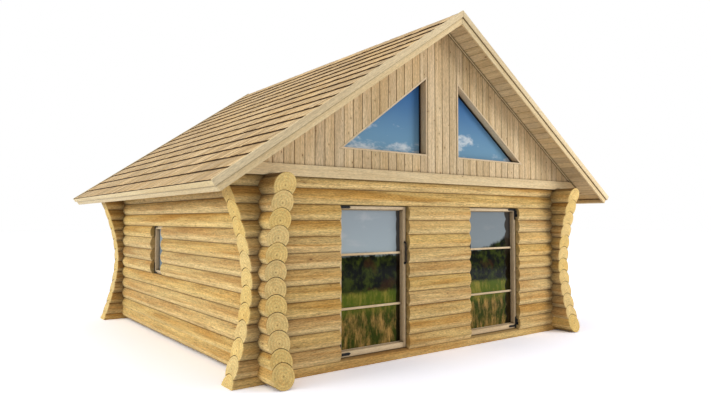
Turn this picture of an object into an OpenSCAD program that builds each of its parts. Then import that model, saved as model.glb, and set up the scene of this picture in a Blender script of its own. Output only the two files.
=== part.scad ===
// Log cabin with two glazed front doors, boarded gables and a shingled roof.
// Millimetres. X is the width, the front faces -Y, Z is up and the ground is Z = 0.

/* [Logs] */
// Diameter of the round logs
log_d = 300; // [280:5:320]
// Height of one course, from log axis to log axis
course_h = 200; // [190:2:210]
// Clearance in the scribed grooves and saddle notches
bed_gap = 0.8; // [0.4:0.1:0.9]
// Reach of the side wall logs past the cross walls, at the slimmest part of a corner
side_reach = 277; // [220:1:320]
// Reach of the front and back wall logs past the side walls, at the slimmest part of a corner
front_reach = 230; // [200:1:300]
// Extra reach of all log ends at the foot of a corner
foot_flare = 228; // [100:1:260]
// Extra reach of the side log ends at the top of a corner
side_flare = 208; // [100:1:230]
// Extra reach of the front and back log ends at the top of a corner
front_flare = 267; // [100:1:300]
// Height of the slimmest part of a corner
waist_z = 1160; // [1000:10:1300]
// Height from the slimmest part to the full flare
flare_h = 1100; // [1000:10:1200]
// Sharpness of the flare curve
flare_power = 1.7; // [1.4:0.1:2.2]
// Depth planed off the top log under each gable
gable_seat = 50; // [40:1:70]
// Depth planed off the top side log under the roof boards
roof_seat = 23; // [15:1:40]

/* [Walls] */
// Width between the side wall log axes
wall_w = 5650; // [5300:10:6400]
// Length between the front and back wall log axes
wall_l = 5700; // [4800:10:7000]

/* [Doors] */
// Number of log courses cut by a door opening
door_courses = 10; // [10:1:11]
// Width of a door opening
door_w = 1175; // [1000:5:1250]
// Distance from the centre line to the near side of a door opening
door_off = 625; // [500:5:750]
// Height of the sill flat in a door opening
sill_z = 120; // [105:1:130]
// Recess of the door faces behind the face of the logs
door_recess = 78; // [60:1:95]
// Depth of a door leaf
leaf_t = 95; // [80:1:110]
// Face width of stiles and top rail
stile_w = 43; // [40:1:60]
// Height of the bottom rail
bottom_rail = 70; // [60:1:130]
// Height of a glazing bar
bar_h = 30; // [20:1:45]
// Depth of a glazing bar
bar_d = 26; // [18:1:36]
// Height of the lower glazing bar above the bottom rail
bar_low = 540; // [400:5:650]
// Height of the upper glazing bar above the bottom rail
bar_high = 1250; // [1000:5:1400]
// Depth of the pane groove in stiles and rails
pane_bite = 12; // [8:1:15]
// Distance from the pane to the back of a leaf
pane_back = 15; // [12:1:25]
// Clearance on the hinge side of a leaf
hinge_gap = 10; // [9:1:14]
// Clearance on the pull side of a leaf
pull_gap = 12; // [12:1:16]
// Clearance above and below a leaf
leaf_gap = 9; // [7:1:12]
// Clearance between a closed leaf and the frame behind it
stop_gap = 6; // [5:0.5:10]
// Width of the frame members behind a leaf
jamb_w = 48; // [36:1:60]
// Depth of the frame members behind a leaf
jamb_d = 60; // [45:1:75]
// Rise of the threshold above the floor
threshold_lip = 6; // [4:1:20]

/* [Door fittings] */
// Length of each leg of a corner strap
strap_l = 190; // [170:1:240]
// Width of a corner strap
strap_w = 35; // [28:1:40]
// Thickness of a corner strap
strap_t = 5; // [4:0.5:6]
// Height of the lower strap above the foot of a leaf
strap_lift = 20; // [5:1:30]
// Height of the lower hinge eye above the foot of a leaf
low_eye = 97; // [90:1:110]
// Distance of the upper hinge eye below the head of a leaf
top_eye = 85; // [80:1:100]
// Height of a hinge eye
eye_h = 48; // [40:1:52]
// Clearance of a hinge eye from the leaf face and the side of the opening
eye_gap = 1; // [0.5:0.1:2]
// Distance of the hinge axis in front of the leaf face
axis_out = 16; // [15:0.5:18]
// Distance of the hinge axis from the side of the opening
axis_in = 17; // [16:0.5:19]
// Radius of a hinge pin
pin_r = 6; // [4:0.5:8]
// Radial clearance of a hinge pin
pin_gap = 0.5; // [0.3:0.1:0.8]
// Rise of a hinge pin above its eye
pin_proud = 4; // [2:1:8]
// Height of a pintle arm
arm_h = 18; // [14:1:24]
// Width of a pintle arm
arm_w = 10; // [8:1:12]
// Gap between a pintle arm and the eye above it
arm_gap = 2; // [1:0.5:3]
// Width of a pintle plate
plate_w = 40; // [30:1:50]
// Thickness of a pintle plate
plate_t = 4; // [3:0.5:5]
// Length of a pintle plate below its arm
plate_drop = 30; // [20:1:40]
// Length of a pull handle
pull_l = 332; // [200:2:500]
// Height of the middle of a pull handle
pull_z = 1446; // [1000:2:1500]
// Distance of a pull grip axis from the leaf face
pull_out = 27; // [24:1:45]
// Radius of a pull grip
pull_r = 10; // [8:0.5:12]
// Radius of the posts of a pull
post_r = 8; // [6:0.5:10]
// Distance of the posts from the ends of a pull
post_in = 22; // [18:1:40]
// Radius of the round feet of a pull
foot_r = 17; // [14:0.5:19]
// Thickness of the round feet of a pull
foot_t = 4; // [3:0.5:6]

/* [Side windows] */
// Distance from the front wall axis to the near side of a side window
window_y = 3326; // [2600:2:3600]
// Width of a side window opening
window_w = 534; // [400:2:700]
// Number of courses below a side window
under_window_courses = 5; // [4:1:6]
// Number of courses cut by a side window
window_courses = 4; // [3:1:4]
// Recess of the window frame behind the face of the logs
window_recess = 78; // [50:1:95]
// Depth of a window frame
window_d = 95; // [80:1:110]
// Face width of a window frame
window_frame = 22; // [18:1:34]
// Face width of a window sash
sash_w = 26; // [20:1:40]
// Depth of a window sash
sash_d = 74; // [60:1:74]
// Recess of a window sash behind its frame
sash_in = 6; // [3:1:6]
// Distance from the face of a window frame to its pane
window_pane_in = 70; // [40:1:70]
// Height of a window corner strap
window_strap_h = 180; // [120:1:220]
// Length of a window corner strap across the frame
window_strap_l = 150; // [100:1:200]

/* [Gables] */
// Clearance of the gable boards in front of the top log
gable_gap = 2; // [1:0.5:10]
// Thickness of gable boards and gable lining
board_t = 20; // [16:1:26]
// Depth of the gable studs
stud_d = 140; // [120:1:160]
// Width of the gable frame members
stud_w = 90; // [70:1:100]
// Distance of the outer gable stud from the one beside the window
stud_step = 560; // [450:5:600]
// Run of the window sill timber past the tip of a gable window
sill_run = 200; // [180:5:260]
// Height of the band board's lower edge above the axis of the top log
band_lift = 35; // [20:1:50]
// Height of the band board across a gable
band_h = 143; // [120:1:170]
// Thickness of the band board
band_t = 25; // [18:1:32]
// Distance of the band ends from the roof underside
band_end = 15; // [5:1:30]
// Height of the gable boards' foot above the lower edge of the band
board_lift = 5; // [2:1:15]
// Distance of the gable sheet corners from the roof underside
sheet_end = 20; // [10:1:40]
// Height of the lath in the corner under the roof boards
lath_h = 25; // [18:1:40]
// Thickness of that lath
lath_t = 18; // [12:1:24]
// Distance from the centre line to the upright edge of a gable window
gable_win_x = 308; // [250:2:400]
// Width of a gable window
gable_win_w = 1552; // [1200:2:1600]
// Height of a gable window
gable_win_h = 1158; // [900:2:1200]
// Height of a gable window above the gable seat
gable_win_z = 322; // [300:2:380]
// Face width of a gable window frame
gable_frame = 25; // [18:1:40]
// Distance of the gable panes in front of the wall axis
gable_pane_out = 32; // [0:1:100]

/* [Roof] */
// Pitch of the roof in degrees
roof_pitch = 34.4; // [32:0.1:38]
// Overhang of the eaves past the side wall axes
eave_over = 923; // [800:1:1100]
// Overhang of the roof in front of the front wall axis
front_over = 600; // [580:1:900]
// Overhang of the roof behind the back wall axis
rear_over = 540; // [500:1:900]
// Clearance of the log ends under the roof
end_gap = 3; // [1:0.5:10]
// Thickness of the roof boards
roof_board_t = 28; // [22:1:36]
// Thickness of the shingles at the butt of a course
shingle_butt = 52; // [40:1:60]
// Thickness of the shingles at the head of a course
shingle_head = 30; // [20:1:36]
// Number of shingle courses on a slope
shingle_rows = 16; // [12:1:20]
// Depth of the verge and eave boards below the roof boards
verge_drop = 76; // [60:1:120]
// Thickness of a verge or eave board
verge_t = 28; // [22:1:34]
// Thickness of the cap over a verge or eave board
cap_t = 20; // [15:1:26]
// Rise of the verge cap above the shingles
cap_rise = 2; // [1:0.5:6]
// Drop of the eave cap below the verge cap
eave_cap_drop = 18; // [10:1:24]
// Depth of the rafters
rafter_h = 110; // [90:1:130]
// Width of the rafters
rafter_w = 80; // [60:1:100]
// Distance of the first and last rafters from the gable lining
rafter_end = 500; // [300:5:700]
// Bearing of the rafters past the side wall axes
rafter_bear = 40; // [20:1:60]
// Number of rafters on a slope
rafter_n = 5; // [4:1:8]
// Depth of the ridge beam
ridge_h = 220; // [160:1:260]

/* [Floor] */
// Thickness of the floor boards
floor_t = 28; // [22:1:34]
// Clearance of the floor boards from the side logs
floor_gap = 8; // [5:1:15]
// Clearance of the floor at the sides of a doorway
tongue_gap = 2; // [1:0.5:5]
// Width of a floor joist
joist_w = 80; // [60:1:100]
// Number of floor joists
joist_n = 7; // [5:1:10]

/* [Fits] */
// Clearance between seated pieces
seat = 0.5; // [0.3:0.1:0.7]
// Thickness of glass panes
pane_t = 8; // [4:1:10]

/* [Hidden] */
$fn = 96;
// Overshoot of a cutting body past the piece it cuts.
over = 10;
R = log_d / 2;
h = course_h;
half_w = wall_w / 2;
roof_l = front_over + wall_l + rear_over;
yf = front_over - roof_l / 2;
yb = yf + wall_l;
ye = roof_l / 2;
top_front = door_courses + 2;
top_side = door_courses + 1;
open_top = (door_courses + 0.5) * h;
door_far = door_off + door_w;
leaf_y0 = yf - R + door_recess;
leaf_y1 = leaf_y0 + leaf_t;
leaf_z0 = sill_z + leaf_gap;
leaf_z1 = open_top - leaf_gap;
leaf_x0 = door_off + pull_gap;
leaf_x1 = door_far - hinge_gap;
glass_x0 = leaf_x0 + stile_w;
glass_x1 = leaf_x1 - stile_w;
glass_z0 = leaf_z0 + bottom_rail;
glass_z1 = leaf_z1 - stile_w;
pane_y = leaf_y1 - pane_back - pane_t;
jamb_y0 = leaf_y1 + stop_gap;
jamb_y1 = jamb_y0 + jamb_d;
axis_x = door_far - axis_in;
axis_y = leaf_y0 - axis_out;
eye_r = min(axis_out, axis_in - eye_gap) - eye_gap;
low_eye_z = leaf_z0 + low_eye;
top_eye_z = leaf_z1 - top_eye;
win_y0 = yf + window_y;
win_y1 = win_y0 + window_w;
win_z0 = under_window_courses * h;
win_z1 = (under_window_courses + window_courses) * h;
win_x = half_w + R - window_recess;
pitch_c = cos(roof_pitch);
pitch_s = sin(roof_pitch);
pitch_t = tan(roof_pitch);
wall_top_z = (top_side + 2.5) * h;
soffit_z = wall_top_z + (R - roof_seat) / pitch_c + half_w * pitch_t;
roof_seat_gap = seat / pitch_c;
seat_z = top_front * h + R - gable_seat;
band_z0 = top_front * h + band_lift;
band_z1 = band_z0 + band_h;
gable_y0 = yf - R - gable_gap - board_t;
gable_y1 = gable_y0 + board_t;
stud_y0 = gable_y1 + seat;
stud_y1 = stud_y0 + stud_d;
lining_y0 = stud_y1 + seat;
lining_y1 = lining_y0 + board_t;
room_y0 = lining_y1 + seat;
room_y1 = yf + yb - room_y0;
verge_up = roof_board_t + shingle_butt + cap_rise;
eave_s = (half_w + eave_over - verge_up * pitch_s) / pitch_c;
board_s = eave_s - cap_t - verge_t - seat;
cap_s = eave_s - cap_t - seat;
board_y = ye - cap_t - verge_t - seat;
win_gz = seat_z + gable_win_z;
win_tan = gable_win_h / gable_win_w;
win_cos = cos(atan(win_tan));
floor_z0 = sill_z + seat;
floor_z1 = floor_z0 + floor_t;
floor_x = half_w - R - floor_gap;
rafter_y0 = lining_y1 + rafter_end;
rafter_y1 = yf + yb - rafter_y0;
rafter_step = (rafter_y1 - rafter_y0) / (rafter_n - 1);
rafter_out = half_w + rafter_bear;

// Axis heights of the front and back logs, and of the side logs.
function zf(i) = i * h;
function zs(k) = k == 0 ? R : (k + 0.5) * h;

// Reach of the curve that all log ends of a corner are cut to, at height z.
function rise(z) = (z - waist_z) / flare_h;
function flare(z, top) = (rise(z) < 0 ? foot_flare : top) * pow(abs(rise(z)), flare_power);
function side_curve(z) = side_reach + flare(z, side_flare);
function front_curve(z) = front_reach + flare(z, front_flare);

// Straight cut of one log end: through the curve at the joints below and above the log's axis za.
function chord(c0, c1, za, z) = c0 + (c1 - c0) * ((z - za) / h + 0.5);
function side_cut(za, z) = chord(side_curve(za - h / 2), side_curve(za + h / 2), za, z);
function front_cut(za, z) = chord(front_curve(za - h / 2), front_curve(za + h / 2), za, z);
function side_max(za) = max(side_cut(za, za - R), side_cut(za, za + R));
function front_max(za) = max(front_cut(za, za - R), front_cut(za, za + R));

// Height of the roof underside at a distance from the centre line.
function soffit(x) = soffit_z - x * pitch_t;
function under(z, d) = (soffit_z - d / pitch_c - z) / pitch_t;

// Point of the right slope: s runs down the slope, t stands square to it.
function sp(s, t) = [s * pitch_c + t * pitch_s, soffit_z - s * pitch_s + t * pitch_c];

// Right gable window outline drawn in by d.
function tri(d) = [[gable_win_x + d, win_gz + d],
                   [gable_win_x + (gable_win_h - d - d / win_cos) / win_tan, win_gz + d],
                   [gable_win_x + d, win_gz + gable_win_h - d * win_tan - d / win_cos]];

// Prism on an outline in the XZ plane, from y0 to y1.
module prism(pts, y0, y1) {
    translate([0, y1, 0])
        rotate([90, 0, 0])
            linear_extrude(y1 - y0)
                polygon(pts);
}

// Prism on an outline in the YZ plane, from x0 to x1.
module prism_x(pts, x0, x1) {
    translate([x0, 0, 0])
        rotate([90, 0, 90])
            linear_extrude(x1 - x0)
                polygon(pts);
}

// Box from one corner to the opposite corner.
module box(a, b) {
    translate(a)
        cube([b[0] - a[0], b[1] - a[1], b[2] - a[2]]);
}

// Round bar along X, and along Y.
module bar_x(x0, x1, y, z, r) {
    translate([x0, y, z])
        rotate([0, 90, 0])
            cylinder(h = x1 - x0, r = r);
}

module bar_y(y0, y1, x, z, r) {
    translate([x, y1, z])
        rotate([90, 0, 0])
            cylinder(h = y1 - y0, r = r);
}

// Copies to the other side of the centre line, and to the back wall.
module left() {
    mirror([1, 0, 0])
        children();
}

module back() {
    translate([0, yf + yb, 0])
        mirror([0, 1, 0])
            children();
}

// Wood beyond the slanting end cut of a right-hand log along X, and of a front end of a log along Y.
module past_end_x(za, y) {
    z0 = za - R - over;
    z1 = za + R + over;
    far = half_w + front_max(za) + log_d;
    prism([[half_w + front_cut(za, z0), z0], [far, z0], [far, z1], [half_w + front_cut(za, z1), z1]],
          y - R - over, y + R + over);
}

module past_end_y(za) {
    z0 = za - R - over;
    z1 = za + R + over;
    far = yf - side_max(za) - log_d;
    prism_x([[yf - side_cut(za, z0), z0], [far, z0], [far, z1], [yf - side_cut(za, z1), z1]],
            half_w - R - over, half_w + R + over);
}

// Space above the roof underside on the right slope, let down by d.
module above_roof(d) {
    x0 = half_w - 2 * log_d;
    x1 = half_w + eave_over;
    prism([[x0, soffit(x0) - d / pitch_c], [x1, soffit(x1) - d / pitch_c], [x1, soffit_z], [x0, soffit_z]],
          -ye, ye);
}

// One log along X in a wall at y: scribed over the log below and saddled over the side logs.
// An end that crosses a side wall is saddled and cut to the corner's curve.
module log_x(i, y, x0, x1, crosses) {
    reach = half_w + front_max(zf(i));
    difference() {
        bar_x(crosses[0] ? -reach : x0, crosses[1] ? reach : x1, y, zf(i), R);
        if (i > 0)
            bar_x(-wall_w, wall_w, y, zf(i - 1), R + bed_gap);
        if (i > 0 && crosses[0])
            bar_y(y - R - over, y + R + over, -half_w, zs(i - 1), R + bed_gap);
        if (i > 0 && crosses[1])
            bar_y(y - R - over, y + R + over, half_w, zs(i - 1), R + bed_gap);
        if (crosses[0])
            left()
                past_end_x(zf(i), y);
        if (crosses[1])
            past_end_x(zf(i), y);
        if (i == 0)
            box([-wall_w, y - R - over, -R - over], [wall_w, y + R + over, 0]);
        if (i == top_front) {
            box([-wall_w, y - R - over, seat_z], [wall_w, y + R + over, seat_z + R]);
            above_roof(end_gap);
            left()
                above_roof(end_gap);
        }
    }
}

// One log along Y in the right wall: scribed over the log below and saddled over front and back.
module log_y(k, y0, y1, crosses) {
    reach = side_max(zs(k));
    difference() {
        bar_y(crosses[0] ? yf - reach : y0, crosses[1] ? yb + reach : y1, half_w, zs(k), R);
        if (k > 0)
            bar_y(yf - wall_w, yb + wall_w, half_w, zs(k - 1), R + bed_gap);
        if (k <= top_side + 1 && y0 < yf + R)
            bar_x(half_w - R - over, half_w + R + over, yf, zf(k), R + bed_gap);
        if (k <= top_side + 1 && y1 > yb - R)
            bar_x(half_w - R - over, half_w + R + over, yb, zf(k), R + bed_gap);
        if (crosses[0])
            past_end_y(zs(k));
        if (crosses[1])
            back()
                past_end_y(zs(k));
        if (k == under_window_courses - 1)
            box([half_w - R - over, win_y0, win_z0], [half_w + R + over, win_y1, win_z0 + R]);
        if (k == under_window_courses + window_courses)
            box([half_w - R - over, win_y0, win_z1 - R], [half_w + R + over, win_y1, win_z1]);
    }
}

// Full right wall: whole logs, the two short ones between the gables, then the logs beside the window.
module wall_logs() {
    for (k = [0 : top_side])
        if (k < under_window_courses || k >= under_window_courses + window_courses)
            log_y(k, yf, yb, [true, true]);
    log_y(top_side + 1, room_y0, room_y1, [false, false]);
    difference() {
        log_y(top_side + 2, room_y0, room_y1, [false, false]);
        above_roof(seat);
        for (j = [0 : rafter_n - 1])
            rafter(j, seat);
    }
}

module window_logs() {
    for (k = [under_window_courses : under_window_courses + window_courses - 1]) {
        log_y(k, yf, win_y0, [true, false]);
        log_y(k, win_y1, yb, [false, true]);
    }
}

module right_wall_logs() {
    color([0.80, 0.62, 0.38])
        wall_logs();
}

module right_window_logs() {
    color([0.80, 0.62, 0.38])
        window_logs();
}

module left_wall_logs() {
    color([0.80, 0.62, 0.38])
        left()
            wall_logs();
}

module left_window_logs() {
    color([0.80, 0.62, 0.38])
        left()
            window_logs();
}

module back_wall_logs() {
    color([0.78, 0.60, 0.37])
        for (i = [0 : top_front])
            log_x(i, yb, -half_w, half_w, [true, true]);
}

// Door openings, cut square through the front wall.
module door_cuts() {
    box([door_off, yf - R - over, sill_z], [door_far, yf + R + over, open_top]);
    box([-door_far, yf - R - over, sill_z], [-door_off, yf + R + over, open_top]);
}

module front_sill_log() {
    color([0.78, 0.60, 0.37])
        difference() {
            log_x(0, yf, -half_w, half_w, [true, true]);
            door_cuts();
        }
}

module front_logs_left() {
    color([0.78, 0.60, 0.37])
        for (i = [1 : door_courses])
            log_x(i, yf, -half_w, -door_far, [true, false]);
}

module front_logs_middle() {
    color([0.78, 0.60, 0.37])
        for (i = [1 : door_courses])
            log_x(i, yf, -door_off, door_off, [false, false]);
}

module front_logs_right() {
    color([0.78, 0.60, 0.37])
        for (i = [1 : door_courses])
            log_x(i, yf, door_far, half_w, [false, true]);
}

module front_lintel_logs() {
    color([0.78, 0.60, 0.37])
        difference() {
            for (i = [door_courses + 1 : top_front])
                log_x(i, yf, -half_w, half_w, [true, true]);
            door_cuts();
        }
}

// Fixed frame behind the right door leaf: two jambs, head and threshold.
module door_frame() {
    z1 = open_top - seat;
    x0 = door_off + jamb_w + seat;
    x1 = door_far - jamb_w - seat;
    box([door_off + seat, jamb_y0, floor_z0], [door_off + jamb_w, jamb_y1, z1]);
    box([door_far - jamb_w, jamb_y0, floor_z0], [door_far - seat, jamb_y1, z1]);
    box([x0, jamb_y0, z1 - jamb_w], [x1, jamb_y1, z1]);
    box([x0, jamb_y0, floor_z0], [x1, jamb_y1, floor_z1 + threshold_lip]);
}

module door_frames() {
    color([0.80, 0.70, 0.57]) {
        door_frame();
        left()
            door_frame();
    }
}

// Right door leaf: deep stiles and rails grooved for the pane, with two glazing bars in front of it.
module leaf() {
    difference() {
        union() {
            box([leaf_x0, leaf_y0, leaf_z0], [glass_x0, leaf_y1, leaf_z1]);
            box([glass_x1, leaf_y0, leaf_z0], [leaf_x1, leaf_y1, leaf_z1]);
            box([glass_x0 + seat, leaf_y0, leaf_z0], [glass_x1 - seat, leaf_y1, glass_z0]);
            box([glass_x0 + seat, leaf_y0, glass_z1], [glass_x1 - seat, leaf_y1, leaf_z1]);
        }
        pane_box(pane_bite, seat);
    }
    for (b = [bar_low, bar_high])
        box([glass_x0 + seat, pane_y - bar_d, glass_z0 + b - bar_h / 2],
            [glass_x1 - seat, pane_y - seat, glass_z0 + b + bar_h / 2]);
}

// The pane and its groove: reach into the frame, and clearance on both faces.
module pane_box(bite, gap) {
    box([glass_x0 - bite, pane_y - gap, glass_z0 - bite],
        [glass_x1 + bite, pane_y + pane_t + gap, glass_z1 + bite]);
}

module leaf_pane() {
    pane_box(pane_bite - seat, 0);
}

// Corner straps of the right leaf, each with an eye on the hinge axis.
module strap(z0, flat_z, eye_z) {
    y1 = leaf_y0 - seat;
    difference() {
        union() {
            box([leaf_x1 - strap_w, y1 - strap_t, z0], [leaf_x1, y1, z0 + strap_l]);
            box([leaf_x1 - strap_l, y1 - strap_t, flat_z], [leaf_x1, y1, flat_z + strap_w]);
            translate([axis_x, axis_y, eye_z])
                cylinder(h = eye_h, r = eye_r);
        }
        translate([axis_x, axis_y, eye_z - over])
            cylinder(h = eye_h + 2 * over, r = pin_r + pin_gap);
    }
}

module straps() {
    strap(leaf_z0, leaf_z0 + strap_lift, low_eye_z);
    strap(leaf_z1 - strap_l, leaf_z1 - strap_w, top_eye_z);
}

// Pintle on the side of the right door opening: plate, arm and pin.
module pintle(eye_z) {
    z1 = eye_z - arm_gap;
    z0 = z1 - arm_h;
    x1 = door_far - seat;
    box([x1 - plate_t, axis_y - plate_w / 2, z0 - plate_drop], [x1, axis_y + plate_w / 2, z1]);
    box([axis_x, axis_y - arm_w / 2, z0], [x1 - plate_t / 2, axis_y + arm_w / 2, z1]);
    translate([axis_x, axis_y, z0])
        cylinder(h = arm_h, r = pin_r + pin_gap);
    translate([axis_x, axis_y, z0])
        cylinder(h = arm_h + arm_gap + eye_h + pin_proud, r = pin_r);
}

module pintles() {
    pintle(low_eye_z);
    pintle(top_eye_z);
}

// Pull on the inner stile of the right leaf: a round grip on two posts with round feet.
module pull() {
    px = leaf_x0 + stile_w / 2;
    gy = leaf_y0 - pull_out;
    z0 = pull_z - pull_l / 2;
    translate([px, gy, z0])
        cylinder(h = pull_l, r = pull_r);
    for (z = [z0 + post_in, z0 + pull_l - post_in]) {
        bar_y(gy, leaf_y0 - seat, px, z, post_r);
        bar_y(leaf_y0 - seat - foot_t, leaf_y0 - seat, px, z, foot_r);
    }
}

module door_pintles() {
    color([0.10, 0.10, 0.11]) {
        pintles();
        left()
            pintles();
    }
}

module right_door_leaf() {
    color([0.82, 0.72, 0.60])
        leaf();
}

module left_door_leaf() {
    color([0.82, 0.72, 0.60])
        left()
            leaf();
}

module right_door_glass() {
    color([0.60, 0.70, 0.78, 0.5])
        leaf_pane();
}

module left_door_glass() {
    color([0.60, 0.70, 0.78, 0.5])
        left()
            leaf_pane();
}

module right_door_hinges() {
    color([0.10, 0.10, 0.11])
        straps();
}

module left_door_hinges() {
    color([0.10, 0.10, 0.11])
        left()
            straps();
}

module right_door_handle() {
    color([0.10, 0.10, 0.11])
        pull();
}

module left_door_handle() {
    color([0.10, 0.10, 0.11])
        left()
            pull();
}

// Four members in the right side window, drawn in by d with face width w, from x0 to x1.
module window_ring(d, w, x0, x1) {
    y0 = win_y0 + d;
    y1 = win_y1 - d;
    z0 = win_z0 + d;
    z1 = win_z1 - d;
    box([x0, y0, z0], [x1, y0 + w, z1]);
    box([x0, y1 - w, z0], [x1, y1, z1]);
    box([x0, y0 + w + seat, z0], [x1, y1 - w - seat, z0 + w]);
    box([x0, y0 + w + seat, z1 - w], [x1, y1 - w - seat, z1]);
}

module window_frame_ring() {
    window_ring(seat, window_frame, win_x - window_d, win_x);
}

module window_sash_ring() {
    window_ring(2 * seat + window_frame, sash_w, win_x - sash_in - sash_d, win_x - sash_in);
}

module window_pane() {
    d = 3 * seat + window_frame + sash_w;
    x1 = win_x - window_pane_in;
    box([x1 - pane_t, win_y0 + d, win_z0 + d], [x1, win_y1 - d, win_z1 - d]);
}

// Corner straps on the rear side of the right window, lying on the frame.
module window_straps() {
    w = window_frame;
    x0 = win_x + seat;
    x1 = x0 + strap_t;
    y1 = win_y1 - seat;
    z0 = win_z0 + seat;
    z1 = win_z1 - seat;
    box([x0, y1 - w, z0], [x1, y1, z0 + window_strap_h]);
    box([x0, y1 - window_strap_l, z0], [x1, y1, z0 + w]);
    box([x0, y1 - w, z1 - window_strap_h], [x1, y1, z1]);
    box([x0, y1 - window_strap_l, z1 - w], [x1, y1, z1]);
}

module side_window_frames() {
    color([0.82, 0.72, 0.60]) {
        window_frame_ring();
        left()
            window_frame_ring();
    }
}

module side_window_sashes() {
    color([0.84, 0.75, 0.63]) {
        window_sash_ring();
        left()
            window_sash_ring();
    }
}

module side_window_glass() {
    color([0.60, 0.70, 0.78, 0.5]) {
        window_pane();
        left()
            window_pane();
    }
}

module side_window_hinges() {
    color([0.10, 0.10, 0.11]) {
        window_straps();
        left()
            window_straps();
    }
}

// Gable sheet from a foot height up to the roof, between y0 and y1.
module gable_sheet(z0, y0, y1) {
    xe = under(z0, seat) - sheet_end;
    prism([[-xe, z0], [xe, z0], [xe, soffit(xe) - roof_seat_gap], [0, soffit_z - roof_seat_gap],
           [-xe, soffit(xe) - roof_seat_gap]], y0, y1);
}

// Both window holes in the front gable, and the top side logs that its boards are cut around.
module gable_holes() {
    prism(tri(0), gable_y0 - over, lining_y1 + over);
    left()
        prism(tri(0), gable_y0 - over, lining_y1 + over);
}

module top_log_ends() {
    for (s = [-1, 1])
        bar_y(gable_y0 - log_d, lining_y1, s * half_w, zs(top_side), R + bed_gap);
}

module outer_sheet() {
    difference() {
        gable_sheet(band_z0 + board_lift, gable_y0, gable_y1);
        top_log_ends();
    }
}

module inner_sheet() {
    gable_sheet(seat_z + seat, lining_y0, lining_y1);
}

module front_gable_boards() {
    color([0.76, 0.68, 0.56])
        difference() {
            outer_sheet();
            gable_holes();
        }
}

module front_gable_lining() {
    color([0.80, 0.70, 0.55])
        difference() {
            inner_sheet();
            gable_holes();
        }
}

module back_gable_boards() {
    color([0.76, 0.68, 0.56])
        back()
            outer_sheet();
}

module back_gable_lining() {
    color([0.80, 0.70, 0.55])
        back()
            inner_sheet();
}

// Timber frame of a gable: foot plate, then the members of the right half.
module gable_plate() {
    z0 = seat_z + seat;
    z1 = seat_z + stud_w;
    x0 = under(z0, seat);
    x1 = under(z1, seat);
    prism([[-x0, z0], [x0, z0], [x1, z1], [-x1, z1]], stud_y0, stud_y1);
}

module gable_rake() {
    z = seat_z + stud_w + seat;
    d = stud_w + seat;
    prism([[seat, soffit(seat) - roof_seat_gap], [seat, soffit(seat) - d / pitch_c],
           [under(z, d), z], [under(z, seat), z]], stud_y0, stud_y1);
}

module gable_stud(x0, x1) {
    z = seat_z + stud_w + seat;
    d = (stud_w + 2 * seat) / pitch_c;
    prism([[x0, z], [x1, z], [x1, soffit(x1) - d], [x0, soffit(x0) - d]], stud_y0, stud_y1);
}

module gable_sill() {
    x0 = gable_win_x + seat;
    x1 = gable_win_x + gable_win_w + sill_run;
    box([x0, stud_y0, win_gz - seat - stud_w], [x1, stud_y1, win_gz - seat]);
}

module gable_head() {
    e = seat / win_cos;
    d = stud_w / win_cos;
    x0 = gable_win_x + seat;
    x1 = gable_win_x + gable_win_w;
    zt = win_gz + gable_win_h - seat * win_tan;
    prism([[x1 + e / win_tan, win_gz], [x1 + d / win_tan, win_gz], [x0, zt + d], [x0, zt + e]],
          stud_y0, stud_y1);
}

module gable_half() {
    far = gable_win_x + gable_win_w + sill_run + seat;
    gable_rake();
    gable_stud(gable_win_x - stud_w, gable_win_x - seat);
    gable_stud(far, far + stud_w);
    gable_stud(far + stud_step, far + stud_step + stud_w);
    gable_sill();
    gable_head();
}

module front_gable_frame() {
    color([0.82, 0.70, 0.50]) {
        gable_plate();
        gable_half();
        left()
            gable_half();
    }
}

module back_gable_frame() {
    color([0.82, 0.70, 0.50])
        back() {
            gable_plate();
            gable_half();
            left()
                gable_half();
        }
}

// Three mitred frame members and the pane of the right gable window.
module gable_ring() {
    a = tri(seat);
    b = tri(gable_frame);
    for (i = [0 : 2]) {
        j = (i + 1) % 3;
        u = seat * (a[j] - a[i]) / norm(a[j] - a[i]);
        prism([a[i] + u, a[j] - u, b[j] - u, b[i] + u], gable_y1, lining_y1);
    }
}

module gable_pane() {
    prism(tri(gable_frame + seat), yf - gable_pane_out - pane_t, yf - gable_pane_out);
}

module gable_window_frames() {
    color([0.74, 0.62, 0.46]) {
        gable_ring();
        left()
            gable_ring();
    }
}

module gable_window_glass() {
    color([0.60, 0.70, 0.78, 0.5]) {
        gable_pane();
        left()
            gable_pane();
    }
}

// Band board across the foot of a gable, and the laths under the roof boards.
module band() {
    x0 = under(band_z0, seat) - band_end;
    x1 = under(band_z1, seat) - band_end;
    y1 = gable_y0 - seat;
    difference() {
        prism([[-x0, band_z0], [x0, band_z0], [x1, band_z1], [-x1, band_z1]], y1 - band_t, y1);
        top_log_ends();
    }
}

module gable_bands() {
    color([0.77, 0.68, 0.55]) {
        band();
        back()
            band();
    }
}

module lath() {
    z = band_z1 + seat;
    y1 = gable_y0 - seat;
    prism([[seat, soffit(seat) - roof_seat_gap], [seat, soffit(seat) - lath_h / pitch_c],
           [under(z, lath_h), z], [under(z, seat), z]], y1 - lath_t, y1);
}

module gable_trims() {
    color([0.82, 0.72, 0.55]) {
        lath();
        left()
            lath();
        back() {
            lath();
            left()
                lath();
        }
    }
}

// Right slope: boards, shingles in stepped courses, and a rafter.
module slope_boards() {
    prism([[seat, soffit(seat)], sp(board_s, 0), sp(board_s, roof_board_t),
           [seat, soffit(seat) + roof_board_t / pitch_c]], -board_y, board_y);
}

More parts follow.
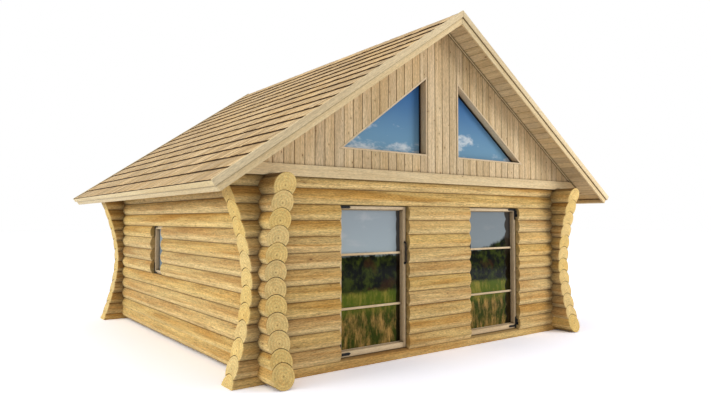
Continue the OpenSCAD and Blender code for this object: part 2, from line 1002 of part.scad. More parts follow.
module slope_shingles() {
    t0 = roof_board_t + seat;
    lap = verge_up / 2;
    e = (cap_s + lap) / shingle_rows;
    steps = [for (j = [0 : shingle_rows - 1], q = [0, 1])
             sp(cap_s - (j + q) * e, roof_board_t + (q == 0 ? shingle_butt : shingle_head))];
    difference() {
        prism(concat([sp(-lap, t0), sp(cap_s, t0)], steps), -board_y, board_y);
        box([-half_w, -ye, soffit_z - ridge_h], [seat, ye, soffit_z + ridge_h]);
    }
}

module rafter(j, grow) {
    y0 = rafter_y0 + j * rafter_step - rafter_w / 2 - grow;
    y1 = y0 + rafter_w + 2 * grow;
    x0 = rafter_w / 2 + seat;
    x1 = rafter_out + grow;
    d = (rafter_h + grow) / pitch_c;
    prism([[x0, soffit(x0) - d], [x1, soffit(x1) - d], [x1, soffit(x1) - roof_seat_gap],
           [x0, soffit(x0) - roof_seat_gap]], y0, y1);
}

module right_roof_boards() {
    color([0.78, 0.66, 0.46])
        slope_boards();
}

module left_roof_boards() {
    color([0.78, 0.66, 0.46])
        left()
            slope_boards();
}

module right_shingles() {
    color([0.70, 0.57, 0.38])
        slope_shingles();
}

module left_shingles() {
    color([0.70, 0.57, 0.38])
        left()
            slope_shingles();
}

module rafters() {
    color([0.82, 0.70, 0.50])
        for (j = [0 : rafter_n - 1]) {
            rafter(j, 0);
            left()
                rafter(j, 0);
        }
}

module ridge_beam() {
    x = rafter_w / 2;
    z0 = soffit_z - ridge_h;
    color([0.82, 0.70, 0.50])
        prism([[-x, z0], [x, z0], [x, soffit(x) - roof_seat_gap], [0, soffit_z - roof_seat_gap],
               [-x, soffit(x) - roof_seat_gap]], room_y0, room_y1);
}

// Verge boards of the right slope at the front, in two layers.
module verge(t0, t1, s1, y0, y1) {
    prism([[seat / 2, soffit(seat / 2) + t0 / pitch_c], sp(s1, t0), sp(s1, t1),
           [seat / 2, soffit(seat / 2) + t1 / pitch_c]], y0, y1);
}

module verge_board() {
    verge(-verge_drop, verge_up - cap_rise, cap_s, -ye + cap_t + seat, -ye + cap_t + verge_t);
}

module verge_cap() {
    verge((verge_up - verge_drop) / 2, verge_up, eave_s, -ye, -ye + cap_t);
}

module barge_boards() {
    color([0.83, 0.75, 0.58])
        for (m = [0, 1])
            mirror([0, m, 0]) {
                verge_board();
                left()
                    verge_board();
            }
}

module barge_caps() {
    color([0.85, 0.77, 0.60])
        for (m = [0, 1])
            mirror([0, m, 0]) {
                verge_cap();
                left()
                    verge_cap();
            }
}

// Eave boards of the right slope, in two layers.
module eave() {
    s0 = cap_s + seat - verge_t;
    c0 = (verge_up - verge_drop) / 2;
    c1 = verge_up - eave_cap_drop;
    yc = ye - cap_t - seat;
    prism([sp(s0, -verge_drop), sp(cap_s, -verge_drop), sp(cap_s, roof_board_t), sp(s0, roof_board_t)],
          -board_y, board_y);
    prism([sp(cap_s + seat, c0), sp(eave_s, c0), sp(eave_s, c1), sp(cap_s + seat, c1)], -yc, yc);
}

module eave_fascias() {
    color([0.83, 0.75, 0.58]) {
        eave();
        left()
            eave();
    }
}

// Floor inside the walls, running out to the thresholds in the doorways.
module floor_boards() {
    y0 = yf + R + floor_gap;
    y1 = yb - R - floor_gap;
    half = door_w / 2 - tongue_gap;
    color([0.82, 0.70, 0.52]) {
        box([-floor_x, y0, floor_z0], [floor_x, y1, floor_z1]);
        for (s = [-1, 1])
            translate([s * (door_off + door_w / 2), 0, 0])
                box([-half, jamb_y1 + seat, floor_z0], [half, y0 + floor_gap, floor_z1]);
    }
}

module floor_joists() {
    step = (2 * floor_x - joist_w) / (joist_n - 1);
    color([0.74, 0.62, 0.45])
        for (j = [0 : joist_n - 1])
            translate([-floor_x + j * step, 0, 0])
                box([0, yf + R + seat, 0], [joist_w, yb - R - seat, sill_z]);
}

left_wall_logs();
left_window_logs();
right_wall_logs();
right_window_logs();
back_wall_logs();
front_sill_log();
front_logs_left();
front_logs_middle();
front_logs_right();
front_lintel_logs();
door_frames();
door_pintles();
left_door_leaf();
left_door_glass();
left_door_hinges();
left_door_handle();
right_door_leaf();
right_door_glass();
right_door_hinges();
right_door_handle();
side_window_frames();
side_window_sashes();
side_window_glass();
side_window_hinges();
front_gable_boards();
front_gable_frame();
front_gable_lining();
gable_window_frames();
gable_window_glass();
back_gable_boards();
back_gable_frame();
back_gable_lining();
gable_bands();
gable_trims();
left_roof_boards();
right_roof_boards();
left_shingles();
right_shingles();
rafters();
ridge_beam();
barge_boards();
barge_caps();
eave_fascias();
floor_boards();
floor_joists();
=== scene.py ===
"""Looks for the log cabin: logs, boards, shingles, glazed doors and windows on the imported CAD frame.

Metres, in the CAD frame: X to the right of someone facing the doors, -Y out of the front, Z up, ground at
Z = 0. Most pieces are drawn on the right and mirrored: sx is 1 on the right and -1 on the left.
"""

import math
import random

import bmesh
import bpy
import numpy as np
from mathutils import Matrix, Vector


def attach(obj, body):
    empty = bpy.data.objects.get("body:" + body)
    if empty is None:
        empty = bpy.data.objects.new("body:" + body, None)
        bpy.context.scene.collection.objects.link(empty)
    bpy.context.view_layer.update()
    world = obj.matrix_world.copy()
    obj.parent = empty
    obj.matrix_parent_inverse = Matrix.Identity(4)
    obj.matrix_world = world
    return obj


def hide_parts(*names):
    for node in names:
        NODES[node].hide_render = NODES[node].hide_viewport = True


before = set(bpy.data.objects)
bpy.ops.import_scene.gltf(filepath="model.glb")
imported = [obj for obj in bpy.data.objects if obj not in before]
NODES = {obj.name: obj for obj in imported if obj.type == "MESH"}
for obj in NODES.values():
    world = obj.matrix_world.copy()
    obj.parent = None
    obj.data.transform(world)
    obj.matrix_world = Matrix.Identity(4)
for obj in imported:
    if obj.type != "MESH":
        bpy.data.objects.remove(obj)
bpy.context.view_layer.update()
ROOT = "cabin"
SIDES = ((-1, "left"), (1, "right"))
ACROSS, DEEP, UP = (1, 0, 0), (0, 1, 0), (0, 0, 1)

# Sizes of part.scad: logs and walls.
R = 0.150
COURSE = 0.200
BED = 0.0008
SEAT = 0.0005
END_GAP = 0.003
HALF_W = 2.825
WALL_L = 5.700
FRONT_OVER = 0.600
REAR_OVER = 0.540
SIDE_OVER = 0.923
ROOF_L = FRONT_OVER + WALL_L + REAR_OVER
YF = FRONT_OVER - ROOF_L / 2
YB = YF + WALL_L
YE = ROOF_L / 2
TOP_FRONT = 12
TOP_SIDE = 11
TOP_FLAT = 0.050
WAIST_Z = 5.8 * COURSE
WAIST_SPAN = 5.5 * COURSE
WAIST_POWER = 1.7
FOOT_FLARE = 0.228
SIDE_REACH, SIDE_FLARE = 0.277, 0.208
FRONT_REACH, FRONT_FLARE = 0.230, 0.267

# Openings, doors and side windows.
DOOR_COURSES = 10
DOOR_OFF = 0.625
DOOR_W = 1.175
DOOR_FAR = DOOR_OFF + DOOR_W
SILL_Z = 0.120
OPEN_TOP = (DOOR_COURSES + 0.5) * COURSE
JOINERY_IN = 0.078
JOINERY_T = 0.095
LEAF_Y0 = YF - R + JOINERY_IN
LEAF_Y1 = LEAF_Y0 + JOINERY_T
LEAF_GAP = 0.009
LEAF_Z0 = SILL_Z + LEAF_GAP
LEAF_Z1 = OPEN_TOP - LEAF_GAP
LEAF_X0 = DOOR_OFF + 0.012
LEAF_X1 = DOOR_FAR - 0.010
STILE = 0.043
BOTTOM_RAIL = 0.070
PANE_T = 0.008
PANE_Y = LEAF_Y1 - 0.015 - PANE_T
FRAME_Y0 = LEAF_Y1 + 0.006
FRAME_Y1 = FRAME_Y0 + 0.060
FRAME_W = 0.048
FRAME_FOOT = 0.034
AXLE_X, AXLE_Y = DOOR_FAR - 0.017, LEAF_Y0 - 0.016
EYE_H = 0.048
EYES = (LEAF_Z0 + 0.097, LEAF_Z1 - 0.085)
WIN_Y0 = YF + 3.326
WIN_Y1 = WIN_Y0 + 0.534
WIN_COURSE = 5
WIN_COURSES = 4
WIN_Z0 = WIN_COURSE * COURSE
WIN_Z1 = (WIN_COURSE + WIN_COURSES) * COURSE
WIN_FRAME = 0.022
WIN_SASH = 0.026
WIN_SASH_IN = (0.006, 0.080)
WIN_PANE_IN = 0.078

# Roof and gables. Lengths named S run down the slope from the ridge.
PITCH = math.radians(34.4)
PC, PS, PT = math.cos(PITCH), math.sin(PITCH), math.tan(PITCH)
ROOF_BITE = 0.023
SOFFIT_Z = (TOP_SIDE + 2.5) * COURSE + (R - ROOF_BITE) / PC + HALF_W * PT
SEAT_Z = TOP_FRONT * COURSE + R - TOP_FLAT
BAND_Z0 = TOP_FRONT * COURSE + 0.035
BAND_Z1 = BAND_Z0 + 0.143
BAND_T, BAND_CUT, BAND_RND = 0.025, 0.015, (0.31, 0.64)
LATH_W, LATH_T = 0.025, 0.018
ROOF_BOARD = 0.028
BUTT = 0.052
HEAD = 0.030
ROWS = 16
CAP_UP = 0.002
VERGE_UP = ROOF_BOARD + BUTT + CAP_UP
VERGE_DROP = 0.076
VERGE_T = 0.028
CAP_T, EAVE_CAP_DOWN = 0.020, 0.018
EAVE_S = (HALF_W + SIDE_OVER - VERGE_UP * PS) / PC
FASCIA_S = EAVE_S - CAP_T
ROOF_Y = YE - CAP_T - VERGE_T - SEAT
GABLE_OUT, GABLE_CUT, GABLE_UP = 0.172, 0.020, 0.005
BOARD_T = 0.020
STUD = 0.140
STUD_Y1 = YF - GABLE_OUT + BOARD_T + SEAT + STUD
LINING_Y1 = STUD_Y1 + SEAT + BOARD_T
LINING_BACK = YF + YB - LINING_Y1
BOARD_PITCH = 0.148
BOARD_GAP = 0.0018
GW_X, GW_W, GW_H = 0.308, 1.552, 1.158
GW_Z = SEAT_Z + 0.322
GW_TAN = GW_H / GW_W
GW_COS = math.cos(math.atan(GW_TAN))
GW_FRAME, GW_PROUD = 0.025, 0.003
GW_BEAD, GW_BEAD_T = 0.043, 0.022
GW_PANE_Y = YF - 0.040
RAFTER_HALF, RAFTER_H, RAFTER_PAST = 0.040, 0.110, 0.040
RIDGE_HALF, RIDGE_H = 0.040, 0.220
RAFTER_COUNT = 5
RAFTER_Y0 = LINING_Y1 + 0.500
RAFTER_STEP = (YF + YB - 2 * RAFTER_Y0) / (RAFTER_COUNT - 1)
RAFTERS = [RAFTER_Y0 + j * RAFTER_STEP for j in range(RAFTER_COUNT)]
JOIST_W, JOISTS = 0.080, 7
FLOOR_T = 0.028
FLOOR_GAP = 0.008

# Sizes of scene.py alone: counts of boards, joints between them, rounded edges, spare length of cutters.
ROOF_PLANKS = 33
FLOOR_PLANKS = 46
PLANK_GAP = 0.0006
RIDGE_GAP = 0.001
V_GABLE, V_LINING, V_SOFFIT = 0.006, 0.004, 0.005
FINE, PLANED, SAWN = 0.002, 0.003, 0.004
LEAF_EDGE = 0.0028
HARD_EDGE = 0.001
SPARE = 0.05
NOTCH_SPARE = 0.02
THROUGH = 0.4
CUT_IN = 0.6
PLANK_SPARE = 0.3
SMOOTH_BELOW = math.radians(32.0)


def zf(i):
    """Height of the axis of front or back log i."""
    return i * COURSE


def zs(k):
    """Height of the axis of side log k, half a course up; the lowest lies on the ground."""
    return R if k == 0 else (k + 0.5) * COURSE


def flare(z, top):
    rise = (z - WAIST_Z) / WAIST_SPAN
    return (FOOT_FLARE if rise < 0 else top) * abs(rise) ** WAIST_POWER


def side_curve(z):
    return SIDE_REACH + flare(z, SIDE_FLARE)


def front_curve(z):
    return FRONT_REACH + flare(z, FRONT_FLARE)


def end_cut(curve, za):
    """Slanting cut of a log end on a chord of the corner's curve: reach at the axis, slope upwards."""
    c0, c1 = curve(za - COURSE / 2), curve(za + COURSE / 2)
    return (c0 + c1) / 2, (c1 - c0) / COURSE


def soffit(x):
    """Height of the roof's underside."""
    return SOFFIT_Z - abs(x) * PT


def under(z, d):
    """Place across at which the height z lies d below the roof's underside."""
    return (SOFFIT_Z - d / PC - z) / PT


def sp(s, t):
    """Place across and height of a point s down the right slope and t square to its underside."""
    return (s * PC + t * PS, SOFFIT_Z - s * PS + t * PC)


def at_ridge(gap, t):
    """Place on the slope, t square to it, that lies gap from the middle plane."""
    return (gap - t * PS) / PC


def tri(d):
    """Corners of the right gable window's outline, drawn in by d."""
    return [(GW_X + d, GW_Z + d),
            (GW_X + (GW_H - d - d / GW_COS) / GW_TAN, GW_Z + d),
            (GW_X + d, GW_Z + GW_H - d * GW_TAN - d / GW_COS)]


# Materials. A colour of three numbers is an sRGB triple, one of four is linear.

KNOT = (96, 58, 32)
CHECK = (124, 84, 42)
PITH = (120, 80, 42)
# Colours multiplied onto the wood as painted shade where other surfaces lie near: in joints, corners and
# recesses. The trim's is darker, a painted shadow under the caps.
LOG_PAINTED_SHADE = (0.38, 0.39, 0.44, 1.0)
BOARD_PAINTED_SHADE = (0.42, 0.40, 0.38, 1.0)
TRIM_PAINTED_SHADE = (0.16, 0.13, 0.10, 1.0)


def srgb(r, g, b):
    """Linear colour of an sRGB triple."""
    def lin(c):
        c /= 255.0
        return c / 12.92 if c <= 0.04045 else ((c + 0.055) / 1.055) ** 2.4
    return (lin(r), lin(g), lin(b), 1.0)


def operation(op):
    """Method of an output that makes a math node."""
    return lambda value, other=0.0: value.tree.math(op, value, other)


class Value:
    """Output of a node, with the arithmetic that makes further nodes."""

    __add__, __sub__ = operation("ADD"), operation("SUBTRACT")
    __mul__, __truediv__ = operation("MULTIPLY"), operation("DIVIDE")
    __pow__, __abs__ = operation("POWER"), operation("ABSOLUTE")

    def __init__(self, tree, socket):
        self.tree = tree
        self.socket = socket


class Tree:
    """Node tree of a world or of a material, which a name makes, built with short names."""

    def __init__(self, owner):
        self.owner = bpy.data.materials.new(owner) if isinstance(owner, str) else owner
        self.owner.use_nodes = True
        self.nt = self.owner.node_tree

    def put(self, socket, value):
        """Links an output to a socket, or sets a number, a linear colour or an sRGB triple."""
        if isinstance(value, Value):
            self.nt.links.new(value.socket, socket)
        else:
            is_srgb = isinstance(value, tuple) and len(value) == 3
            socket.default_value = srgb(*value) if is_srgb else value

    def node(self, kind, out, inputs, **props):
        """Makes a node and gives its output out, or a list of outputs for a tuple of names."""
        n = self.nt.nodes.new("ShaderNode" + kind)
        for key, value in props.items():
            setattr(n, key, value)
        for key, value in inputs.items():
            self.put(n.inputs[key], value)
        if isinstance(out, tuple):
            return [Value(self, n.outputs[k]) for k in out]
        return Value(self, n.outputs[out])

    def shader(self, **values):
        """Sets the surface shader and gives the material."""
        bsdf = self.nt.nodes["Principled BSDF"]
        for key, value in values.items():
            self.put(bsdf.inputs[key.replace("_", " ")], value)
        return self.owner

    def attr(self, name, out="Vector"):
        return self.node("Attribute", out, {}, attribute_name=name)

    def place(self):
        return self.sep(self.node("TexCoord", "Object", {}))

    def sep(self, vec):
        return self.node("SeparateXYZ", ("X", "Y", "Z"), {0: vec})

    def comb(self, *xyz):
        return self.node("CombineXYZ", 0, dict(enumerate(xyz)))

    def math(self, op, a, b=0.0):
        return self.node("Math", 0, {0: a, 1: b}, operation=op)

    def noise(self, vec, detail=3.0, rough=0.6, distort=0.0):
        return self.node("TexNoise", "Fac", {
            "Vector": vec, "Scale": 1.0, "Detail": detail, "Roughness": rough, "Distortion": distort})

    def waves(self, p, scale, *shape):
        """Noise at the place p, with scale counting its waves in a metre along X, Y and Z."""
        return self.noise(self.comb(*(v * s for v, s in zip(p, scale))), *shape)

    def ramp(self, fac, lo, hi, to_lo=0.0, to_hi=1.0):
        values = dict(enumerate((fac, lo, hi, to_lo, to_hi)))
        return self.node("MapRange", 0, values, interpolation_type="SMOOTHSTEP")

    def mix(self, fac, a, b, blend="MIX"):
        return self.node("Mix", 2, {0: fac, 6: a, 7: b}, data_type="RGBA", blend_type=blend)

    def stain(self, col, over, fac, lo, hi, most=1.0):
        """Lays a colour over col: nothing where fac is lo, the share most where it is hi."""
        return self.mix(self.ramp(fac, lo, hi, 0.0, most), col, over)

    def tone(self, col, *parts):
        """Scales a colour by 1 plus the sum of noises taken about their middle, each times its weight."""
        total = 1.0
        for noise, weight in parts:
            total = (noise - 0.5) * weight + total
        return self.node("VectorMath", "Vector",
                         {"Vector": col, "Scale": self.math("MAXIMUM", total, 0.25)}, operation="SCALE")

    def bump(self, height, strength, distance):
        return self.node("Bump", "Normal",
                         {"Strength": strength, "Distance": distance, "Height": height})


class Wood(Tree):
    """Softwood drawn in each piece's own grain coordinates.

    The attribute "wood" is the place along, across and through the grain, "sect" the place in the cross
    section and the piece's random number, and "endg" how far a face shows end grain.
    """

    def __init__(self, name):
        super().__init__(name)
        self.a, self.b, self.c = self.sep(self.attr("wood"))
        self.u, self.v, self.rnd = self.sep(self.attr("sect"))
        self.shift = self.rnd * 37.0

    def streaks(self, along, across, detail=3.0, distort=0.0):
        """Noise drawn out along the grain: along and across count its waves in a metre."""
        place = self.comb(self.a * along, self.b * across, self.c * across + self.shift)
        return self.noise(place, detail, 0.62, distort)

    def knots(self, limit, along, across):
        """Core of the knots and the wood round them, in the cells whose random number passes limit."""
        place = self.comb(self.a * along, self.b * across + self.shift, 0.0)
        color, distance = self.node("TexVoronoi", ("Color", "Distance"),
                                    {"Vector": place, "Scale": 1.0}, voronoi_dimensions="2D")
        pick, size = self.sep(color)[:2]
        has = self.math("GREATER_THAN", pick, limit)
        away = distance / self.ramp(size, 0.0, 1.0, 0.018, 0.044)
        return self.ramp(away, 0.5, 1.1, 1.0, 0.0) * has, self.ramp(away, 0.8, 3.4, 1.0, 0.0) * has

    def rings(self, radius, spacing, sharp):
        """Growth rings: 0 in the early wood, 1 in the dark late wood."""
        turn = self.math("FRACT", radius / spacing)
        return (abs(turn - 0.5) * -2.0 + 1.0) ** sharp

    def radius(self, pith):
        """Distance from the pith, which lies a length pith below the middle of the section."""
        return self.math("SQRT", self.u * self.u + (self.v + pith) ** 2.0)

    def end_grain(self, col, light, dark, pith):
        """Lays rings and patches over the faces across the grain, and drying checks on whole logs."""
        radius = self.radius(pith)
        flat = self.u, self.v, self.shift
        wobble = self.waves(flat, (14.0, 14.0, 1.0), 2.0)
        rings = self.rings(radius + wobble * 0.012, 0.0095, 1.5)
        groups = self.rings(radius + wobble * 0.02, 0.036, 1.6)
        end = self.mix(rings * 0.28 + groups * 0.42, light, dark)
        patch = self.waves(flat, (8.0, 8.0, 1.3), 3.0)
        end = self.stain(end, dark, patch, 0.48, 0.74, 0.34)
        speck = self.waves(flat, (75.0, 75.0, 1.7), 3.0)
        end = self.tone(end, (speck, -1.0), (wobble, -0.5))
        if pith == 0:
            turn = self.math("ARCTAN2", self.u, self.v)
            ray = self.noise(self.comb(turn * 3.2, radius * 6.0, self.shift), 2.0)
            check = self.ramp(abs(ray - 0.5), 0.0, 0.010, 1.0, 0.0)
            end = self.mix(check * self.ramp(radius, 0.012, 0.05) * 0.3, end, CHECK)
            end = self.mix(self.ramp(radius, 0.005, 0.012, 0.55, 0.0), end, PITH)
            end = self.stain(end, dark, radius, 0.136, 0.150, 0.4)
        return self.mix(self.attr("endg", "Fac"), col, end)

    def paint_occlusion_shade(self, col, reach, lo, hi, shade, above=(-1.0, -0.5)):
        """Painted shade: darkens the colour where other surfaces lie within reach, fading in between the
        heights above.
        """
        near = self.node("AmbientOcclusion", "AO", {"Distance": reach}, samples=6)
        up = self.ramp(self.place()[2], *above)
        return self.mix(up * self.ramp(near, lo, hi, 1.0, 0.0), col, shade, "MULTIPLY")

    def about_one(self, stir, spread):
        """A number near 1 that differs from piece to piece."""
        return self.ramp(self.math("FRACT", self.rnd * stir), 0, 1, 1.0 - spread, 1.0 + spread)

    def finish(self, col, tint, height, rough):
        """Gives every piece a slightly different tone, and sets the shader."""
        col = self.node("HueSaturation", "Color", {
            "Hue": 0.5, "Saturation": self.about_one(5.13, 0.05), "Value": self.about_one(7.31, tint / 2),
            "Color": col})
        return self.shader(Base_Color=col, Roughness=rough, Specular_IOR_Level=0.22,
                           Normal=self.bump(height, 0.4, 0.002))


def log_material():
    """Turned logs: browner above and paler below, the paler lower half a painted light, with a dark line
    where each course meets the next.
    """
    t = Wood("log_wood")
    broad = t.streaks(0.5, 7.0, 2.0, 0.4)
    streak = t.streaks(0.9, 26.0)
    grain = t.streaks(6.0, 62.0, 4.0)
    speck = t.streaks(22.0, 110.0)
    fibre = t.streaks(9.0, 420.0, 2.0)
    core, halo = t.knots(0.9, 1.5, 3.1)
    col = t.stain((192, 146, 80), (220, 188, 124), broad, 0.30, 0.70)
    # Painted light: the lower half of each log is paler, as if lit from below.
    painted_under_light = t.ramp(t.v + (streak - 0.5) * 0.07, -0.010, -0.056)
    col = t.mix(painted_under_light * 0.60, col, (240, 214, 158))
    col = t.stain(col, (170, 116, 54), grain, 0.50, 0.72, 0.40)
    col = t.tone(col, (streak, -1.0), (grain, -0.7), (speck, -1.7), (fibre, -0.5))
    col = t.mix(halo * 0.35, col, (150, 106, 54))
    col = t.mix(core * 0.70, col, KNOT)
    col = t.stain(col, (96, 64, 32), abs(t.v), 0.089, 0.101, 0.60)
    # Painted shade in the joints between courses and in the recesses between the corners' log ends, fading in
    # from 0.1 m to 0.45 m up.
    col = t.paint_occlusion_shade(col, 0.42, 0.38, 0.94, LOG_PAINTED_SHADE, (0.10, 0.45))
    col = t.end_grain(col, (238, 212, 144), (208, 156, 84), 0)
    height = streak * 0.5 + grain * 0.5 + speck * 0.3 + core * 0.4
    return t.finish(col, 0.05, height, grain * 0.2 + 0.54)


def board_material(name, light, mid, dark, end=None, knot=0.9, cell=(1.7, 3.1), figure=0.3, contrast=1.0,
                   tint=0.1, rough=0.55, painted_seam_shade=BOARD_PAINTED_SHADE):
    """Planed boards: rings cut as long arches, streaks, fibres and knots."""
    t = Wood(name)
    broad = t.streaks(0.55, 8.0, 3.0, 0.5)
    grain = t.streaks(1.6, 60.0, 4.0)
    fibre = t.streaks(10.0, 420.0, 2.0)
    speck = t.streaks(18.0, 90.0)
    core, halo = t.knots(knot, *cell)
    wander = t.noise(t.comb(t.a * 0.5, t.u * 3.0, t.shift), 2.0)
    bent = wander * 0.06 + halo * 0.012 + grain * 0.004
    late = t.rings(t.radius(0.06) + bent, 0.013, 2.2)
    col = t.stain(dark, light, broad, 0.3, 0.7)
    col = t.mix(0.5, col, mid)
    col = t.stain(col, dark, grain, 0.44, 0.72, 0.5 * contrast)
    col = t.mix(late * figure, col, dark)
    col = t.stain(col, dark, fibre, 0.45, 0.8, 0.22 * contrast)
    col = t.tone(col, (speck, -0.9 * contrast))
    col = t.mix(halo * 0.45, col, dark)
    col = t.mix(core * 0.8, col, KNOT)
    col = t.end_grain(col, end or mid, end or dark, 0.06)
    # Painted shade in the joints and corners between boards.
    col = t.paint_occlusion_shade(col, 0.04, 0.45, 0.95, painted_seam_shade)
    height = grain * 0.6 + fibre * 0.25 + late * -0.3 + core * 0.4
    return t.finish(col, tint, height, grain * 0.2 + (rough - 0.08))


def iron_material():
    """Black forged iron with scale and fine pits."""
    t = Tree("black_iron")
    p = t.place()
    scale = t.waves(p, (45.0, 45.0, 45.0), 4.0)
    pits = t.waves(p, (260.0, 260.0, 260.0), 2.0)
    return t.shader(Base_Color=t.stain((18, 18, 20), (40, 39, 38), scale, 0.35, 0.75),
                    Metallic=0.5, Roughness=t.ramp(scale, 0.3, 0.7, 0.40, 0.62),
                    Normal=t.bump(scale + pits * 0.4, 0.25, 0.0012))


def glass(t, col):
    """Clear hard pane: its colour is a painted reflection, so that the shine itself stays low."""
    dust = t.waves(t.place(), (3.0, 3.0, 3.0), 4.0)
    return t.shader(Base_Color=col, Roughness=t.ramp(dust, 0.3, 0.7, 0.05, 0.11), Specular_IOR_Level=0.04,
                    Normal=t.bump(dust, 0.04, 0.01))


def painted_reflection_sky_glass():
    """Gable panes, with a painted reflection of blue sky and a few clouds."""
    t = Tree("window_glass_gable")
    p = t.place()
    cloud = t.waves(p, (1.7, 1.7, 4.0), 5.0, 0.62)
    low = cloud + t.ramp(p[2], 2.85, 3.5, 0.05, -0.04)
    col = t.stain((118, 160, 192), (58, 106, 166), p[2], 2.85, 3.9)
    return glass(t, t.stain(col, (226, 232, 238), low, 0.54, 0.68, 0.8))


def painted_reflection_country_glass(name, painted_sheen):
    """Door and side panes, with a painted reflection of sky, trees, a meadow and the log ends of the
    opening's right side.
    """
    t = Tree(name)
    p = t.place()
    x, z = p[0], p[2]
    leaf = t.waves(p, (9.0, 9.0, 8.0), 5.0, 0.7)
    crown = t.waves(p, (2.6, 2.6, 3.0), 3.0)
    tuft = t.waves(p, (9.0, 9.0, 3.6), 6.0, 0.74)
    blade = t.waves(p, (70.0, 70.0, 12.0), 3.0, 0.7)
    cloud = t.waves(p, (2.2, 2.2, 5.0), 4.0)
    sky = t.stain((172, 186, 196), (160, 172, 184), z, 1.45, 2.05)
    sky = t.stain(sky, (196, 200, 206), cloud, 0.52, 0.70, 0.5)
    sky = t.stain(sky, (108, 116, 122), x, -0.4, 0.6, 0.6)
    trees = t.stain((6, 10, 2), (58, 68, 14), leaf, 0.40, 0.68)
    trees = t.stain(trees, (64, 38, 12), crown, 0.54, 0.66, 0.55)
    grass = t.stain((54, 64, 14), (176, 138, 78), tuft, 0.40, 0.70)
    grass = t.tone(grass, (blade, 2.2))
    field = t.stain((82, 98, 22), (146, 134, 56), tuft, 0.44, 0.70)
    low = z + (leaf - 0.5) * 0.16
    col = t.stain(trees, sky, low + t.ramp(x, 0.9, 1.8, 0.0, -0.20), 1.40, 1.47)
    meadow = t.stain(grass, field, low, 0.56, 0.78)
    col = t.stain(meadow, col, low, 0.90, 0.97)
    wave = abs(t.math("SINE", (z - SILL_Z) * (math.pi / COURSE)))
    right = t.math("GREATER_THAN", x, 0.0)
    left_edge, right_edge = -LEAF_X0 - STILE - 0.070, LEAF_X1 - STILE - 0.112
    edge = right * (right_edge - left_edge) + left_edge
    past = x - edge + wave * 0.030 * (right + 0.3)
    # Painted reflection of the log ends on the opening's right side, a dark scalloped strip.
    jamb_reflection = t.stain((26, 18, 12), (58, 50, 42), z, 1.3, 1.5)
    col = t.stain(col, jamb_reflection, past, -0.003, 0.003, 0.9)
    # The last mix washes the panes towards pale blue-grey, a painted sheen of sky.
    return glass(t, t.mix(painted_sheen, col, (150, 166, 184)))


def cad_wood(name):
    """Softwood for CAD solids, from their place in the frame."""
    t = Tree(name)
    p = t.place()
    grain = t.waves(p, (14.0, 40.0, 1.4), 4.0)
    fibre = t.waves(p, (160.0, 160.0, 6.0), 2.0)
    col = t.stain((226, 196, 146), (186, 148, 98), grain, 0.35, 0.68)
    col = t.stain(col, (160, 120, 74), fibre, 0.45, 0.75, 0.3)
    return t.shader(Base_Color=col, Roughness=t.ramp(grain, 0.3, 0.7, 0.5, 0.7),
                    Normal=t.bump(grain + fibre * 0.5, 0.3, 0.002))


LOG = log_material()
GABLE = board_material("gable_board", (238, 216, 180), (228, 204, 164), (182, 150, 108), knot=0.35,
                       cell=(3.0, 5.0), contrast=1.4, tint=0.16)
# Trim boards take a darker seam colour: a painted shadow under each cap.
TRIM = board_material("trim_board", (246, 226, 186), (238, 216, 175), (212, 184, 140), contrast=0.9,
                      figure=0.2, tint=0.05, painted_seam_shade=TRIM_PAINTED_SHADE)
SOFFIT = board_material("roof_board", (240, 220, 184), (232, 210, 172), (196, 168, 126), knot=0.6, tint=0.14)
# The shingles' butt faces take a very dark end colour, a painted shade of each course's step.
SHINGLE = board_material("shingle", (252, 224, 178), (234, 200, 150), (160, 122, 78), (84, 58, 34),
                         figure=0.4, contrast=1.3, tint=0.34, rough=0.66)
JOINERY = board_material("joinery", (240, 220, 188), (230, 206, 172), (198, 170, 132), contrast=0.8,
                         figure=0.2, tint=0.05)
FRAMING = board_material("framing", (226, 196, 146), (214, 180, 128), (180, 142, 92), knot=0.5, tint=0.14)
FLOOR = board_material("floor_board", (222, 190, 140), (208, 172, 118), (172, 132, 82), knot=0.5, tint=0.2,
                       rough=0.45)
# Dark wood for the beads round the gable panes.
DARK_BEAD_WOOD = board_material("dark_bead_wood", (52, 42, 32), (42, 33, 26), (28, 22, 16), tint=0.05)
IRON = iron_material()
GLASS_PAINTED_SKY = painted_reflection_sky_glass()
GLASS_DOOR = painted_reflection_country_glass("window_glass", 0.0)
GLASS_SIDE = painted_reflection_country_glass("window_glass_side", 0.7)


# Mesh helpers. A solid is a pair: its points, and its faces as tuples of point numbers.


def from_bmesh(bm):
    bmesh.ops.recalc_face_normals(bm, faces=bm.faces[:])
    bm.verts.index_update()
    solid = [tuple(v.co) for v in bm.verts], [tuple(v.index for v in f.verts) for f in bm.faces]
    bm.free()
    return solid


def prism(pts, vec, bevel=0.0, segments=2):
    """Closed prism on a flat outline, with its edges rounded by bevel."""
    bm = bmesh.new()
    face = bm.faces.new([bm.verts.new(p) for p in pts])
    out = bmesh.ops.extrude_face_region(bm, geom=[face])
    moved = [g for g in out["geom"] if isinstance(g, bmesh.types.BMVert)]
    bmesh.ops.translate(bm, vec=Vector(vec), verts=moved)
    bmesh.ops.recalc_face_normals(bm, faces=bm.faces[:])
    if bevel:
        bmesh.ops.bevel(bm, geom=bm.edges[:], offset=bevel, segments=segments, profile=0.5, affect="EDGES",
                        clamp_overlap=True)
    return from_bmesh(bm)


def box(a, b, bevel=0.0, segments=2):
    """Box between two corners, the lowest and the highest."""
    foot = [(a[0], a[1], a[2]), (b[0], a[1], a[2]), (b[0], b[1], a[2]), (a[0], b[1], a[2])]
    return prism(foot, (0, 0, b[2] - a[2]), bevel, segments)


